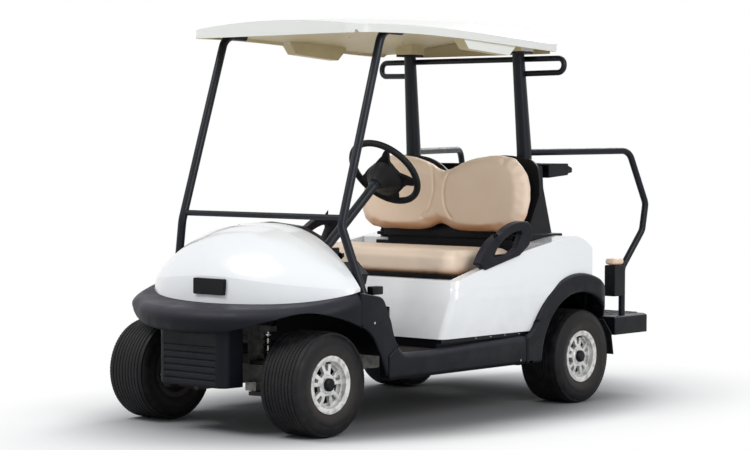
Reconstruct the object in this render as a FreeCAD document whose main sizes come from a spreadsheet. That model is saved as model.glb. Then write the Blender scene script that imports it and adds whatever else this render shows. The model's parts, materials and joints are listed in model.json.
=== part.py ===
"""Two-seat golf cart with a rear step, as separate pieces in one frame.

Millimetres. The cart faces -Y, its left (driver's) side is +X and Z is up.
Sizes are laid out from the front axle: y = 0 at the front wheel centres, z = 0 on the
ground.  Every piece then gets the same Placement, which moves the origin to the middle
of the cart's length, on the ground.
"""
import FreeCAD, Part
import math
import os
import Sketcher

doc = FreeCAD.newDocument("GolfCart")

# ---------------------------------------------------------------------------
# Driving sizes: alias, millimetres (or degrees), what it is
# ---------------------------------------------------------------------------
SIZES = [
    ("overall_length", 2640, "front bumper to back of the rear step"),
    ("overall_width", 1200, "across the rear wheel flares"),
    ("wheelbase", 1664, "front axle to rear axle"),
    ("front_overhang", 330, "front axle to the face of the bumper"),
    ("front_tread", 876, "between the front tyres' centres"),
    ("rear_tread", 978, "between the rear tyres' centres"),
    # wheels
    ("tyre_radius", 213, "18 inch turf tyre under load"),
    ("tyre_width", 212, "section width of an 8.5 inch tyre"),
    ("tyre_wall", 11, "rubber thickness"),
    ("lip_radius", 117, "outside of the rim flange"),
    ("bead_radius", 101.6, "8 inch bead seat"),
    ("rim_half_width", 97, "half of the rim over its flanges"),
    ("rim_wall", 6, "thickness of the barrel"),
    ("disc_face", 72, "outer face of the spokes from the tyre's centre"),
    ("disc_thickness", 12, "thickness of the spokes"),
    ("hub_radius", 39, "boss that the wheel studs go through"),
    ("cap_radius", 25.5, "black centre cap"),
    ("spindle_radius", 16, "axle that the hub turns on"),
    ("running_clearance", 0.8, "radial gap between spindle and hub"),
    # front end
    ("kingpin_x", 300, "steering axis from the centre line"),
    ("kingpin_radius", 10, "kingpin"),
    ("upright_bottom", 168, "lower face of the knuckle"),
    ("upright_top", 268, "upper face of the knuckle"),
    ("arm_thickness", 16, "suspension arms"),
    ("joint_gap", 5, "gap between parts that move past each other"),
    ("rack_y", 95, "steering rack behind the front axle"),
    ("rack_z", 322, "height of the steering rack"),
    ("steer_arm_x", 285, "tie rod pivot from the centre line"),
    ("tie_rod_radius", 7, "tie rod"),
    ("tie_rod_end", 150, "inner end of the tie rod from the centre line"),
    # frame
    ("rail_x", 120, "frame rail centre from the centre line"),
    ("rail_width", 50, "frame rail"),
    ("rail_bottom", 200, "underside of the frame rails"),
    ("rail_height", 80, "frame rail"),
    ("rail_wall", 4, "frame rail wall"),
    ("kick_start", 1330, "where the rails rise over the rear axle"),
    ("kick_end", 1480, "end of that rise"),
    ("kick_up", 80.6, "rise of the rails"),
    # body
    ("panel_wall", 5, "moulded body panels"),
    ("floor_top", 310, "height of the floor"),
    ("floor_plate", 14, "thickness of the floor"),
    ("floor_half_width", 536, "half of the floor"),
    ("bumper_bottom", 407, "lower edge of the front bumper"),
    ("bumper_top", 510, "top of the bumper on the centre line"),
    ("bumper_side_top", 578, "top of the bumper beside the wheels"),
    ("bumper_half_width", 592, "half of the bumper beside the wheels"),
    ("bumper_corner_x", 420, "where the front curve meets the corner curve"),
    ("bumper_corner_y", 150, "how far back that point is"),
    ("bumper_end", 118, "rear end of the bumper behind the front axle"),
    ("bumper_round", 48, "rounding of the bumper's edges"),
    ("hood_front", 150, "nose of the hood ahead of the front axle"),
    ("hood_rear", 195, "rear edge of the hood behind the front axle"),
    ("hood_top", 842, "highest point of the hood"),
    ("hood_half_width", 566, "half of the hood"),
    ("body_front", 690, "front face of the seat pod behind the front axle"),
    ("body_bottom", 352, "lower edge of the seat pod"),
    ("body_half_width", 590, "half of the seat pod at its crease"),
    ("body_rear", 1832, "back of the seat pod"),
    ("panel_gap", 0.4, "seam between fixed pieces"),
    ("arch_radius", 301, "rear wheel opening"),
    ("flare_rear", 1935, "back of the rear flares"),
    ("flare_width", 87, "visible band of the rear flare"),
    ("sill_bottom", 209, "underside of the side sills"),
    ("sill_top", 312, "top of the side sills"),
    # seat
    ("seat_base", 596, "top of the seat pod under the cushion"),
    ("seat_plate", 16, "seat base plate"),
    ("cushion_height", 104, "seat cushion"),
    ("cushion_front", 800, "front of the cushion"),
    ("cushion_rear", 1300, "back of the cushion"),
    ("cushion_half_width", 508, "half of the cushion"),
    ("hinge_y", 1312, "seat hinge pin"),
    ("backrest_front", 1368, "front face of the back cushion"),
    ("backrest_depth", 78, "thickness of the back cushion"),
    ("backrest_half_width", 498, "half of the back cushion"),
    ("backrest_bottom", 776, "lower edge of the back cushion"),
    ("backrest_top", 1136, "top of the back cushion"),
    ("backrest_lean", 7, "degrees that the back cushion leans back"),
    # canopy and tubes
    ("canopy_front", 212, "front edge of the canopy"),
    ("canopy_rear", 1677, "rear edge of the canopy"),
    ("canopy_half_width", 540, "half of the canopy"),
    ("canopy_edge", 1627, "lower edge of the canopy at the front"),
    ("canopy_drop", 34, "how much lower the rear edge is"),
    ("canopy_fascia", 34, "height of the canopy's rim"),
    ("canopy_top", 1738, "highest point of the canopy"),
    ("strut_radius", 18, "front strut tube"),
    ("bar_radius", 12.5, "bar between the front struts"),
    ("strut_x", 452, "front strut from the centre line"),
    ("rear_strut_x", 322, "rear strut from the centre line"),
    ("rail_tube", 13, "radius of the canopy hand rail"),
    ("grab_tube", 15.5, "radius of the grab rails"),
    # rear
    ("step_front", 1998, "front of the rear step"),
    ("step_top", 371, "top of the rear step"),
    ("step_height", 86, "depth of the rear step's rim"),
    ("tread_rise", 3, "raised tread area of the rear step"),
    ("step_half_width", 540, "half of the rear step"),
    ("perch_top", 648, "top of the small rear pads"),
    ("perch_base", 465, "underside of the boxes below them"),
    # steering wheel
    ("wheel_x", 250, "steering wheel from the centre line"),
    ("wheel_y", 662, "steering wheel centre"),
    ("wheel_z", 1054, "steering wheel centre"),
    ("wheel_tilt", 39.7, "degrees from the column to the horizontal"),
    ("wheel_radius", 161, "steering wheel rim, to the tube's centre"),
    ("wheel_tube", 15, "steering wheel rim tube"),
    ("column_radius", 22, "steering column"),
]


class Dim:
    """A size with the spreadsheet expression that gives it."""

    def __init__(self, text, value):
        self.text = text
        self.value = float(value)

    def __float__(self):
        return self.value

    def __neg__(self):
        return Dim("(-%s)" % self.text, -self.value)

    def __add__(self, other):
        return merge(self, "+", other)

    def __radd__(self, other):
        return merge(other, "+", self)

    def __sub__(self, other):
        return merge(self, "-", other)

    def __rsub__(self, other):
        return merge(other, "-", self)

    def __mul__(self, other):
        return merge(self, "*", other)

    def __rmul__(self, other):
        return merge(other, "*", self)

    def __truediv__(self, other):
        return merge(self, "/", other)


def dim(value):
    """Any number as a Dim."""
    if isinstance(value, Dim):
        return value
    return Dim("(%r)" % float(value), value)


def merge(left, sign, right):
    """The sum, difference, product or quotient of two sizes."""
    left = dim(left)
    right = dim(right)
    results = {
        "+": left.value + right.value,
        "-": left.value - right.value,
        "*": left.value * right.value,
    }
    value = results[sign] if sign in results else left.value / right.value
    return Dim("(%s %s %s)" % (left.text, sign, right.text), value)


class SheetSizes:
    """The sheet's sizes, one attribute for each alias."""


S = SheetSizes()
sheet = doc.addObject("Spreadsheet::Sheet", "Sizes")
for row, (alias, amount, meaning) in enumerate(SIZES, 1):
    sheet.set("A%d" % row, alias)
    sheet.set("B%d" % row, str(amount))
    sheet.set("C%d" % row, meaning)
    sheet.setAlias("B%d" % row, alias)
    setattr(S, alias, Dim("Sizes." + alias, amount))
doc.recompute()

ROW_SHIFT = S.front_overhang - S.overall_length / 2
SIDES = (1, -1)

# ---------------------------------------------------------------------------
# Helpers
# ---------------------------------------------------------------------------


def bind(thing, prop, value):
    """Set a property, with its expression where the value comes from the sheet."""
    value = dim(value)
    thing.setExpression(prop, value.text)


def place(piece, x=0.0, y=0.0, z=0.0, axis=(0, 0, 1), angle=0.0):
    """Put a finished piece at x, y, z in the axle frame, then into the cart's frame."""
    piece.Placement = FreeCAD.Placement(
        FreeCAD.Vector(float(dim(x)), float(dim(y) + ROW_SHIFT), float(dim(z))),
        FreeCAD.Rotation(FreeCAD.Vector(*axis), float(dim(angle))))
    bind(piece, "Placement.Base.x", x)
    bind(piece, "Placement.Base.y", dim(y) + ROW_SHIFT)
    bind(piece, "Placement.Base.z", z)


PIECES = []


def keep(piece, label, **where):
    """Name a finished piece, place it and note it for export."""
    piece.Label = label
    place(piece, **where)
    PIECES.append(piece)
    return piece


def new_body(name):
    return doc.addObject("PartDesign::Body", name)


def origin_part(body, role):
    return next(part for part in body.Origin.OriginFeatures if part.Role == role)


def sketch_on(body, plane, at):
    """An empty sketch parallel to an origin plane, 'at' along X, Y or Z."""
    sketch = body.newObject("Sketcher::SketchObject", "Sketch")
    sketch.AttachmentSupport = [(origin_part(body, plane + "_Plane"), "")]
    sketch.MapMode = "FlatFace"
    offset = -dim(at) if plane == "XZ" else dim(at)
    bind(sketch, "AttachmentOffset.Base.z", offset)
    return sketch


def pin(sketch, kind, geo, pos, value):
    """Fix one coordinate of a sketch point, from the sketch's origin."""
    value = dim(value)
    if value.value == 0.0:
        axis = -2 if kind == "DistanceX" else -1
        sketch.addConstraint(Sketcher.Constraint("PointOnObject", geo, pos, axis))
        return
    number = sketch.addConstraint(Sketcher.Constraint(kind, -1, 1, geo, pos, value.value))
    sketch.setExpression("Constraints[%d]" % number, value.text)


def circle(sketch, x, y, radius):
    """A full circle with its centre and radius bound."""
    centre = FreeCAD.Vector(float(dim(x)), float(dim(y)), 0)
    geo = sketch.addGeometry(Part.Circle(centre, FreeCAD.Vector(0, 0, 1), float(dim(radius))), False)
    pin(sketch, "DistanceX", geo, 3, x)
    pin(sketch, "DistanceY", geo, 3, y)
    number = sketch.addConstraint(Sketcher.Constraint("Radius", geo, float(dim(radius))))
    sketch.setExpression("Constraints[%d]" % number, dim(radius).text)


def arc_between(p, q, radius):
    """The arc from p to q; a positive radius bulges to the right of the way from p to q."""
    chord = q - p
    reach = abs(radius)
    rise = math.sqrt(max(reach ** 2 - (chord.Length / 2) ** 2, 0.0))
    left = FreeCAD.Vector(-chord.y, chord.x, 0).normalize()
    centre = (p + q) / 2 + left * (rise if radius > 0 else -rise)
    first, last = (p, q) if radius > 0 else (q, p)
    start = math.atan2(first.y - centre.y, first.x - centre.x)
    end = math.atan2(last.y - centre.y, last.x - centre.x)
    if end < start:
        end += 2 * math.pi
    round_part = Part.Circle(centre, FreeCAD.Vector(0, 0, 1), reach)
    return Part.ArcOfCircle(round_part, start, end)


def outline(sketch, corners):
    """A closed outline.  A corner is (a, b) or (a, b, radius of the arc to the next)."""
    points = [FreeCAD.Vector(float(dim(c[0])), float(dim(c[1])), 0) for c in corners]
    ends = []
    for i, corner in enumerate(corners):
        p = points[i]
        q = points[(i + 1) % len(points)]
        radius = float(dim(corner[2])) if len(corner) > 2 else 0.0
        edge = arc_between(p, q, radius) if radius else Part.LineSegment(p, q)
        geo = sketch.addGeometry(edge, False)
        ends.append((geo, 1, 2) if radius >= 0 else (geo, 2, 1))
    for i, (geo, first, last) in enumerate(ends):
        following = ends[(i + 1) % len(ends)]
        sketch.addConstraint(Sketcher.Constraint("Coincident", geo, last, following[0], following[1]))
        pin(sketch, "DistanceX", geo, first, corners[i][0])
        pin(sketch, "DistanceY", geo, first, corners[i][1])
        if len(corners[i]) > 2:
            size = dim(corners[i][2]) if float(dim(corners[i][2])) > 0 else -dim(corners[i][2])
            number = sketch.addConstraint(Sketcher.Constraint("Radius", geo, float(size)))
            sketch.setExpression("Constraints[%d]" % number, size.text)


def draw(sketch, loops):
    """Draw outlines, and circles given as (x, y, radius) of three plain sizes."""
    for loop in loops:
        if isinstance(loop, tuple):
            circle(sketch, *loop)
        else:
            outline(sketch, loop)


def prism(body, kind, plane, start, end, *loops):
    """A Pad or Pocket of the loops from 'start' to 'end' along the plane's axis."""
    sketch = sketch_on(body, plane, start)
    draw(sketch, loops)
    before = body.Shape.Volume if body.Tip else 0.0
    feature = body.newObject("PartDesign::" + kind, kind)
    feature.Profile = sketch
    bind(feature, "Length", dim(end) - dim(start))
    feature.Reversed = (plane == "XZ") != (kind == "Pocket")
    doc.recompute()
    change = body.Shape.Volume - before
    if (kind == "Pad" and change <= 0) or (kind == "Pocket" and change >= 0):
        raise RuntimeError("%s of %s changes nothing" % (kind, body.Name))
    return feature


def pad(body, plane, start, end, *loops):
    return prism(body, "Pad", plane, start, end, *loops)


def pocket(body, plane, start, end, *loops):
    return prism(body, "Pocket", plane, start, end, *loops)


def pair(side, near, far):
    """The two ends of a span that lies from near to far on one side of the cart."""
    return (near, far) if side > 0 else (-dim(far), -dim(near))


def mirrored(side, corners):
    """The same outline on the other side of the centre line, for plan and front views."""
    if side > 0:
        return list(corners)
    flipped = []
    for corner in corners:
        rest = tuple(-dim(r) for r in corner[2:])
        flipped.append((-dim(corner[0]), corner[1]) + rest)
    return flipped


def box_outline(a1, b1, a2, b2):
    return [(a1, b1), (a2, b1), (a2, b2), (a1, b2)]


def both_halves(half):
    """A whole outline from one half, which starts and ends on the centre line."""
    whole = list(half[:-1])
    for here, before in zip(half[:0:-1], half[-2::-1]):
        x = here[0] if here is half[-1] else -dim(here[0])
        whole.append((x, here[1]) + tuple(before[2:]))
    return whole


def loft(body, kind, plane, sections):
    """A smooth loft through outlines; sections are (at, corners)."""
    sketches = []
    for at, corners in sections:
        sketch = sketch_on(body, plane, at)
        outline(sketch, corners)
        sketches.append(sketch)
    feature = body.newObject("PartDesign::%sLoft" % kind, kind + "Loft")
    feature.Profile = sketches[0]
    feature.Sections = sketches[1:]
    doc.recompute()
    return feature


def turn(body, kind, role, *loops):
    """A full revolution of loops in the XZ plane about X or Z; kind is Revolution or Groove."""
    sketch = sketch_on(body, "XZ", 0)
    draw(sketch, loops)
    feature = body.newObject("PartDesign::" + kind, kind)
    feature.Profile = sketch
    feature.ReferenceAxis = (origin_part(body, role + "_Axis"), [""])
    feature.Angle = 360
    doc.recompute()
    return feature


def spread(body, features, role, count):
    """Repeat features around an origin axis."""
    pattern = body.newObject("PartDesign::PolarPattern", "PolarPattern")
    pattern.Originals = features
    pattern.Axis = (origin_part(body, role + "_Axis"), [""])
    pattern.Angle = 360
    pattern.Occurrences = count
    body.Tip = pattern
    doc.recompute()
    return pattern


def repeat(body, features, role, length, count):
    """Repeat features along an origin axis, over a length."""
    pattern = body.newObject("PartDesign::LinearPattern", "LinearPattern")
    pattern.Originals = features
    pattern.Direction = (origin_part(body, role + "_Axis"), [""])
    bind(pattern, "Length", length)
    pattern.Occurrences = count
    body.Tip = pattern
    doc.recompute()
    return pattern


def round_edges(body, radius, chosen):
    """Fillet the edges of the body's last feature that 'chosen' accepts."""
    tip = body.Tip
    names = ["Edge%d" % i for i, edge in enumerate(tip.Shape.Edges, 1) if chosen(edge)]
    fillet = body.newObject("PartDesign::Fillet", "Fillet")
    fillet.Base = (tip, names)
    bind(fillet, "Radius", radius)
    doc.recompute()
    return fillet


def middle(edge):
    return edge.valueAt((edge.FirstParameter + edge.LastParameter) / 2)


def runs(edge, axis):
    """True where a straight edge runs along X, Y or Z."""
    if len(edge.Vertexes) < 2 or edge.Curve.TypeId != "Part::GeomLine":
        return False
    way = edge.Vertexes[1].Point - edge.Vertexes[0].Point
    spans = {"X": abs(way.x), "Y": abs(way.y), "Z": abs(way.z)}
    return spans[axis] > 0.99 * way.Length


def flat_at(edge, axis, value, slack=0.5):
    """True where the whole edge lies at one x, y or z."""
    box = edge.BoundBox
    low, high = {"X": (box.XMin, box.XMax), "Y": (box.YMin, box.YMax), "Z": (box.ZMin, box.ZMax)}[axis]
    return abs(low - float(value)) < slack and abs(high - float(value)) < slack


def vector(x, y, z):
    return FreeCAD.Vector(float(dim(x)), float(dim(y)), float(dim(z)))


def bent_path(points, bend):
    """A wire of straight runs joined by tangent arcs of one bend radius."""
    edges = []
    start = points[0]
    for before, corner, after in zip(points, points[1:], points[2:]):
        back = (before - corner).normalize()
        ahead = (after - corner).normalize()
        half_turn = (math.pi - back.getAngle(ahead)) / 2
        room = min((before - corner).Length, (after - corner).Length) * 0.48
        cut = min(bend * math.tan(half_turn), room)
        radius = cut / math.tan(half_turn)
        enter = corner + back * cut
        leave = corner + ahead * cut
        bisector = (back + ahead).normalize()
        top = corner + bisector * (radius / math.cos(half_turn) - radius)
        if (enter - start).Length > 1e-6:
            edges.append(Part.LineSegment(start, enter).toShape())
        edges.append(Part.Arc(enter, top, leave).toShape())
        start = leave
    edges.append(Part.LineSegment(start, points[-1]).toShape())
    return Part.Wire(edges)


def tube(points, radius, bend, wall=0.0):
    """A round tube through points, hollow where it has a wall."""
    path = bent_path(points, float(dim(bend)))
    way = (points[1] - points[0]).normalize()
    rings = [float(dim(radius))]
    if wall:
        rings.append(float(dim(radius)) - float(dim(wall)))
    solids = []
    for ring in rings:
        profile = Part.Wire([Part.Circle(points[0], way, ring).toShape()])
        solids.append(path.makePipeShell([profile], True, True))
    return solids[0].cut(solids[1]) if wall else solids[0]


def feature_of(shape, name):
    """A Part::Feature that holds a shape made by Part's own functions."""
    piece = doc.addObject("Part::Feature", name)
    piece.Shape = shape
    return piece


def fuse_all(shapes):
    whole = shapes[0]
    for shape in shapes[1:]:
        whole = whole.fuse(shape)
    return whole.removeSplitter()


def boolean(kind, name, first, second):
    """Part::Cut or Part::Common of two objects, Part::MultiFuse of a list."""
    result = doc.addObject("Part::" + kind, name)
    result.Base = first
    result.Tool = second
    doc.recompute()
    return result


# ---------------------------------------------------------------------------
# Wheels
# ---------------------------------------------------------------------------
SPOKE_PAIRS = 5
SLOT_HALF_ANGLE = 7.5
WINDOW_HALF_ANGLE = 15.5


def tyre(name):
    """A hollow turf tyre, turned about X, with its beads against the rim flanges."""
    body = new_body(name)
    half = S.tyre_width / 2
    bead = S.rim_half_width - 7
    crown = S.tyre_radius - 3
    inner_crown = S.tyre_radius - 22
    outer_side = [
        (bead, S.bead_radius + 1), (bead, S.lip_radius + 2), (half - 2, S.lip_radius + 22),
        (half, S.tyre_radius - 62), (half - 4, S.tyre_radius - 32), (half - 12, S.tyre_radius - 12),
        (half - 24, crown)]
    inner_side = [
        (half - 38, inner_crown), (half - 17, S.tyre_radius - 38), (half - S.tyre_wall, S.tyre_radius - 62),
        (half - S.tyre_wall - 2, S.lip_radius + 22), (bead - 15, S.bead_radius + 1)]
    profile = outer_side + [(-dim(x), z) for x, z in reversed(outer_side)]
    profile += [(-dim(x), z) for x, z in reversed(inner_side)] + inner_side
    turn(body, "Revolution", "X", profile)
    return body


def polar(radius, degrees):
    """A point at a radius and an angle from the vertical, in a wheel's side view."""
    angle = math.radians(degrees)
    return (radius * math.sin(angle), radius * math.cos(angle))


def spoke_window(inner, outer, half_angle, centre):
    """One opening between spokes, narrower towards the hub."""
    corners = [
        polar(outer, centre - half_angle),
        polar(inner, centre - half_angle * 0.9),
        polar(inner, centre + half_angle * 0.9),
        polar(outer, centre + half_angle),
    ]
    return corners


def rim(name):
    """A one-piece wheel: flanged barrel, five pairs of spokes, hub boss and centre cap."""
    body = new_body(name)
    edge = S.rim_half_width
    seat = S.bead_radius
    drop = seat - 16
    inner = drop - S.rim_wall
    face = S.disc_face
    back = face - S.disc_thickness
    bore = S.spindle_radius + S.running_clearance
    turn(body, "Revolution", "X", [
        (-edge, S.lip_radius),
        (-edge + 5, S.lip_radius),
        (-edge + 7, seat),
        (-edge + 34, seat),
        (-edge + 44, drop),
        (edge - 74, drop),
        (edge - 62, seat),
        (edge - 7, seat),
        (edge - 5, S.lip_radius),
        (edge, S.lip_radius),
        (edge, S.lip_radius - 7),
        (edge - 4, seat - S.rim_wall),
        (face, seat - S.rim_wall - 2),
        (face + 3, S.hub_radius + 22),
        (face + 6, S.hub_radius),
        (face + 10, S.hub_radius - 4),
        (face + 10, bore),
        (back - 34, bore),
        (back - 34, S.hub_radius),
        (back, S.hub_radius),
        (back, inner - 2),
        (-edge + 40, inner),
        (-edge + 30, seat - S.rim_wall),
        (-edge + 4, seat - S.rim_wall),
        (-edge, S.lip_radius - 7),
    ])
    pitch = 360.0 / SPOKE_PAIRS
    inner_end = S.hub_radius + 7
    outer_end = seat - S.rim_wall - 6
    slot = pocket(body, "YZ", back - 1, face + 12,
                  spoke_window(inner_end + 9, outer_end - 5, SLOT_HALF_ANGLE, 0.0))
    window = pocket(body, "YZ", back - 1, face + 12,
                    spoke_window(inner_end, outer_end, WINDOW_HALF_ANGLE, pitch / 2))
    spread(body, [slot, window], "X", SPOKE_PAIRS)
    cap_inside = bore + 3
    turn(body, "Revolution", "X", [
        (face + 9, cap_inside),
        (face + 9, S.cap_radius),
        (face + 20, S.cap_radius),
        (face + 26, S.cap_radius - 7),
        (face + 26, 0),
        (face + 22, 0),
        (face + 22, cap_inside),
    ])
    return body


# The four wheels: name, side, distance from the front axle, tread
WHEELS = [
    ("front_left", 1, 0, S.front_tread),
    ("front_right", -1, 0, S.front_tread),
    ("rear_left", 1, S.wheelbase, S.rear_tread),
    ("rear_right", -1, S.wheelbase, S.rear_tread),
]
for corner, side, axle_y, tread in WHEELS:
    for part_name, make in (("tyre", tyre), ("rim", rim)):
        label = "%s_%s" % (part_name, corner)
        keep(make(label), label, x=side * tread / 2, y=axle_y, z=S.tyre_radius,
             angle=0 if side > 0 else 180)


# ---------------------------------------------------------------------------
# Front suspension and steering
# ---------------------------------------------------------------------------
UPRIGHT_HALF = 21
TOWER_RISE = 150
TOWER_FLANGE = 22
ARM_PIN_TOP = S.rack_z + 8


def knuckle(name, side):
    """Upright with its kingpin, the spindle for the hub and the steering arm."""
    body = new_body(name)
    pin_x = side * S.kingpin_x
    near, far = pair(side, S.kingpin_x - UPRIGHT_HALF, S.kingpin_x + UPRIGHT_HALF - 4)
    pad(body, "XY", S.upright_bottom, S.upright_top,
        box_outline(near, -UPRIGHT_HALF, far, UPRIGHT_HALF))
    pad(body, "XY", S.upright_bottom - 26, ARM_PIN_TOP, (pin_x, 0, S.kingpin_radius))
    hub_face = S.front_tread / 2 + S.disc_face - S.disc_thickness - 34
    start, end = pair(side, S.kingpin_x + 10, hub_face - S.joint_gap)
    pad(body, "YZ", start, end, (0, S.tyre_radius, S.spindle_radius + 10))
    start, end = pair(side, S.kingpin_x + 10, S.front_tread / 2 + S.disc_face + 18)
    pad(body, "YZ", start, end, (0, S.tyre_radius, S.spindle_radius))
    arm = mirrored(side, [
        (S.kingpin_x - 17, -14), (S.kingpin_x + 13, -14), (S.kingpin_x + 10, 30),
        (S.steer_arm_x + 11, S.rack_y + 10), (S.steer_arm_x - 11, S.rack_y + 10),
        (S.kingpin_x - 26, 30)])
    pad(body, "XY", S.rack_z - 22, S.rack_z - 11, arm)
    pad(body, "XY", S.rack_z - 12, S.rack_z + 12, (side * S.steer_arm_x, S.rack_y, 5))
    return body


for side_name, side in (("left", 1), ("right", -1)):
    keep(knuckle(side_name + "_knuckle", side), side_name + "_knuckle")


def tie_rod(name, side):
    """Tie rod with its ball end on the steering arm."""
    body = new_body(name)
    near, far = pair(side, S.tie_rod_end, S.steer_arm_x)
    pad(body, "YZ", near, far, (S.rack_y, S.rack_z, S.tie_rod_radius))
    pad(body, "XY", S.rack_z - 9, S.rack_z + 9, (side * S.steer_arm_x, S.rack_y, 13))
    pocket(body, "XY", S.rack_z - 20, S.rack_z + 20, (side * S.steer_arm_x, S.rack_y, 5.5))
    return body


for side_name, side in (("left", 1), ("right", -1)):
    keep(tie_rod(side_name + "_tie_rod", side), side_name + "_tie_rod")


def front_suspension():
    """Upper and lower A-arms from the frame rails to the kingpins, and the coil dampers."""
    body = new_body("front_suspension")
    hole = S.kingpin_radius + 0.6
    inner_x = S.rail_x + S.rail_width / 2
    gap = S.joint_gap
    levels = ((S.upright_bottom - gap - S.arm_thickness, 66), (S.upright_top + gap, 60))
    for bottom, half_base in levels:
        for side in SIDES:
            arm = mirrored(side, [
                (inner_x, -half_base), (inner_x + 24, -half_base), (S.kingpin_x + 17, -15),
                (S.kingpin_x + 17, 15), (inner_x + 24, half_base), (inner_x, half_base)])
            hollow = mirrored(side, [
                (inner_x + 8, -half_base + 22), (S.kingpin_x - 34, -7),
                (S.kingpin_x - 34, 7), (inner_x + 8, half_base - 22)])
            pad(body, "XY", bottom, bottom + S.arm_thickness, arm, hollow,
                (side * S.kingpin_x, 0, hole))
    return body


keep(front_suspension(), "front_suspension")


def coil_dampers():
    """Coil-over dampers between the lower arms and the frame's tower."""
    foot = float(S.upright_bottom - S.joint_gap + S.panel_gap)
    top = float(S.rail_bottom + S.rail_height + TOWER_RISE - TOWER_FLANGE - S.panel_gap)
    shapes = []
    for side in SIDES:
        spot = vector(side * 192, 0, foot)
        parts = [
            Part.makeCylinder(9, top - foot, spot),
            Part.makeCylinder(15, (top - foot) * 0.8, spot + vector(0, 0, 30)),
        ]
        coils = 7
        for number in range(coils):
            height = 36 + (top - foot - 60) * number / (coils - 1)
            parts.append(Part.makeCylinder(23, 9, spot + vector(0, 0, height)))
        shapes.append(fuse_all(parts))
    return feature_of(Part.makeCompound(shapes), "coil_dampers")


PINION_X = 70
PINION_RISE = 32


def steering_rack():
    """Rack housing on the frame rails, with a bellows mouth at each end."""
    body = new_body("steering_rack")
    back_wall = 100
    mouth = 185
    pad(body, "YZ", -back_wall, back_wall, (S.rack_y, S.rack_z, 20))
    for side in SIDES:
        near, far = pair(side, back_wall - 6, mouth)
        pad(body, "YZ", near, far, (S.rack_y, S.rack_z, 37))
        near, far = pair(side, back_wall, mouth + 1)
        pocket(body, "YZ", near, far, (S.rack_y, S.rack_z, 33))
    for side in SIDES:
        near, far = pair(side, back_wall - 3, back_wall + 32)
        pad(body, "XY", S.rail_bottom + S.rail_height + S.panel_gap, S.rack_z - 35,
            box_outline(near, S.rack_y - 14, far, S.rack_y + 14))
    pad(body, "XY", S.rack_z, S.rack_z + PINION_RISE, (PINION_X, S.rack_y, 14))
    return body


keep(steering_rack(), "steering_rack")
keep(coil_dampers(), "coil_dampers")


def wheel_point(along):
    """A point on the steering axis, 'along' below the steering wheel's centre."""
    tilt = math.radians(float(S.wheel_tilt))
    return vector(S.wheel_x, float(S.wheel_y) - along * math.cos(tilt),
                  float(S.wheel_z) - along * math.sin(tilt))


COLUMN_TOP = 74
COLUMN_BOTTOM = 700
SHAFT_RADIUS = 11


def steering_column():
    """Fixed column tube with its upper shroud, and the lower shaft down to the rack."""
    top = wheel_point(COLUMN_TOP)
    bottom = wheel_point(COLUMN_BOTTOM)
    down = bottom - top
    column = Part.makeCylinder(float(S.column_radius), down.Length, top, down)
    shroud = Part.makeCone(46, 24, 150, top, down)
    pinion = vector(PINION_X + 6, S.rack_y + 2, S.rack_z + PINION_RISE + 5)
    lower = tube([bottom - down * 0.02, bottom + down * 0.02, pinion], 9, 20)
    bore = Part.makeCylinder(SHAFT_RADIUS + 1.5, 60, top, down)
    return feature_of(fuse_all([column, shroud, lower]).cut(bore), "steering_column")


keep(steering_column(), "steering_column")


def steering_wheel():
    """Steering wheel in its own plane: rim, four spokes, hub pad and the stub of its shaft."""
    body = new_body("steering_wheel")
    ring = float(S.wheel_radius)
    turn(body, "Revolution", "Z", (S.wheel_radius, 0, S.wheel_tube))
    hub_low, hub_high = -34, 16
    pad(body, "XY", hub_low, hub_high, [
        (-60, -52, 260), (60, -52, 40), (78, -30), (62, 48), (-62, 48), (-78, -30, 40)])
    for side in SIDES:
        lower = mirrored(side, [(20, 30), (112, ring * 0.72), (82, ring * 0.83), (12, 46)])
        upper = mirrored(side, [(50, -30), (ring * 0.97, -42), (ring * 0.99, -10), (50, 10)])
        pad(body, "XY", -10, 6, lower)
        pad(body, "XY", -10, 6, upper)
    pad(body, "XY", -COLUMN_TOP - 45, hub_low, (0, 0, SHAFT_RADIUS))
    pad(body, "XY", -COLUMN_TOP + 6, hub_low, (0, 0, 26))
    return body


keep(steering_wheel(), "steering_wheel", x=S.wheel_x, y=S.wheel_y, z=S.wheel_z,
     axis=(1, 0, 0), angle=S.wheel_tilt - 90)


# ---------------------------------------------------------------------------
# Frame and running gear
# ---------------------------------------------------------------------------


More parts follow.
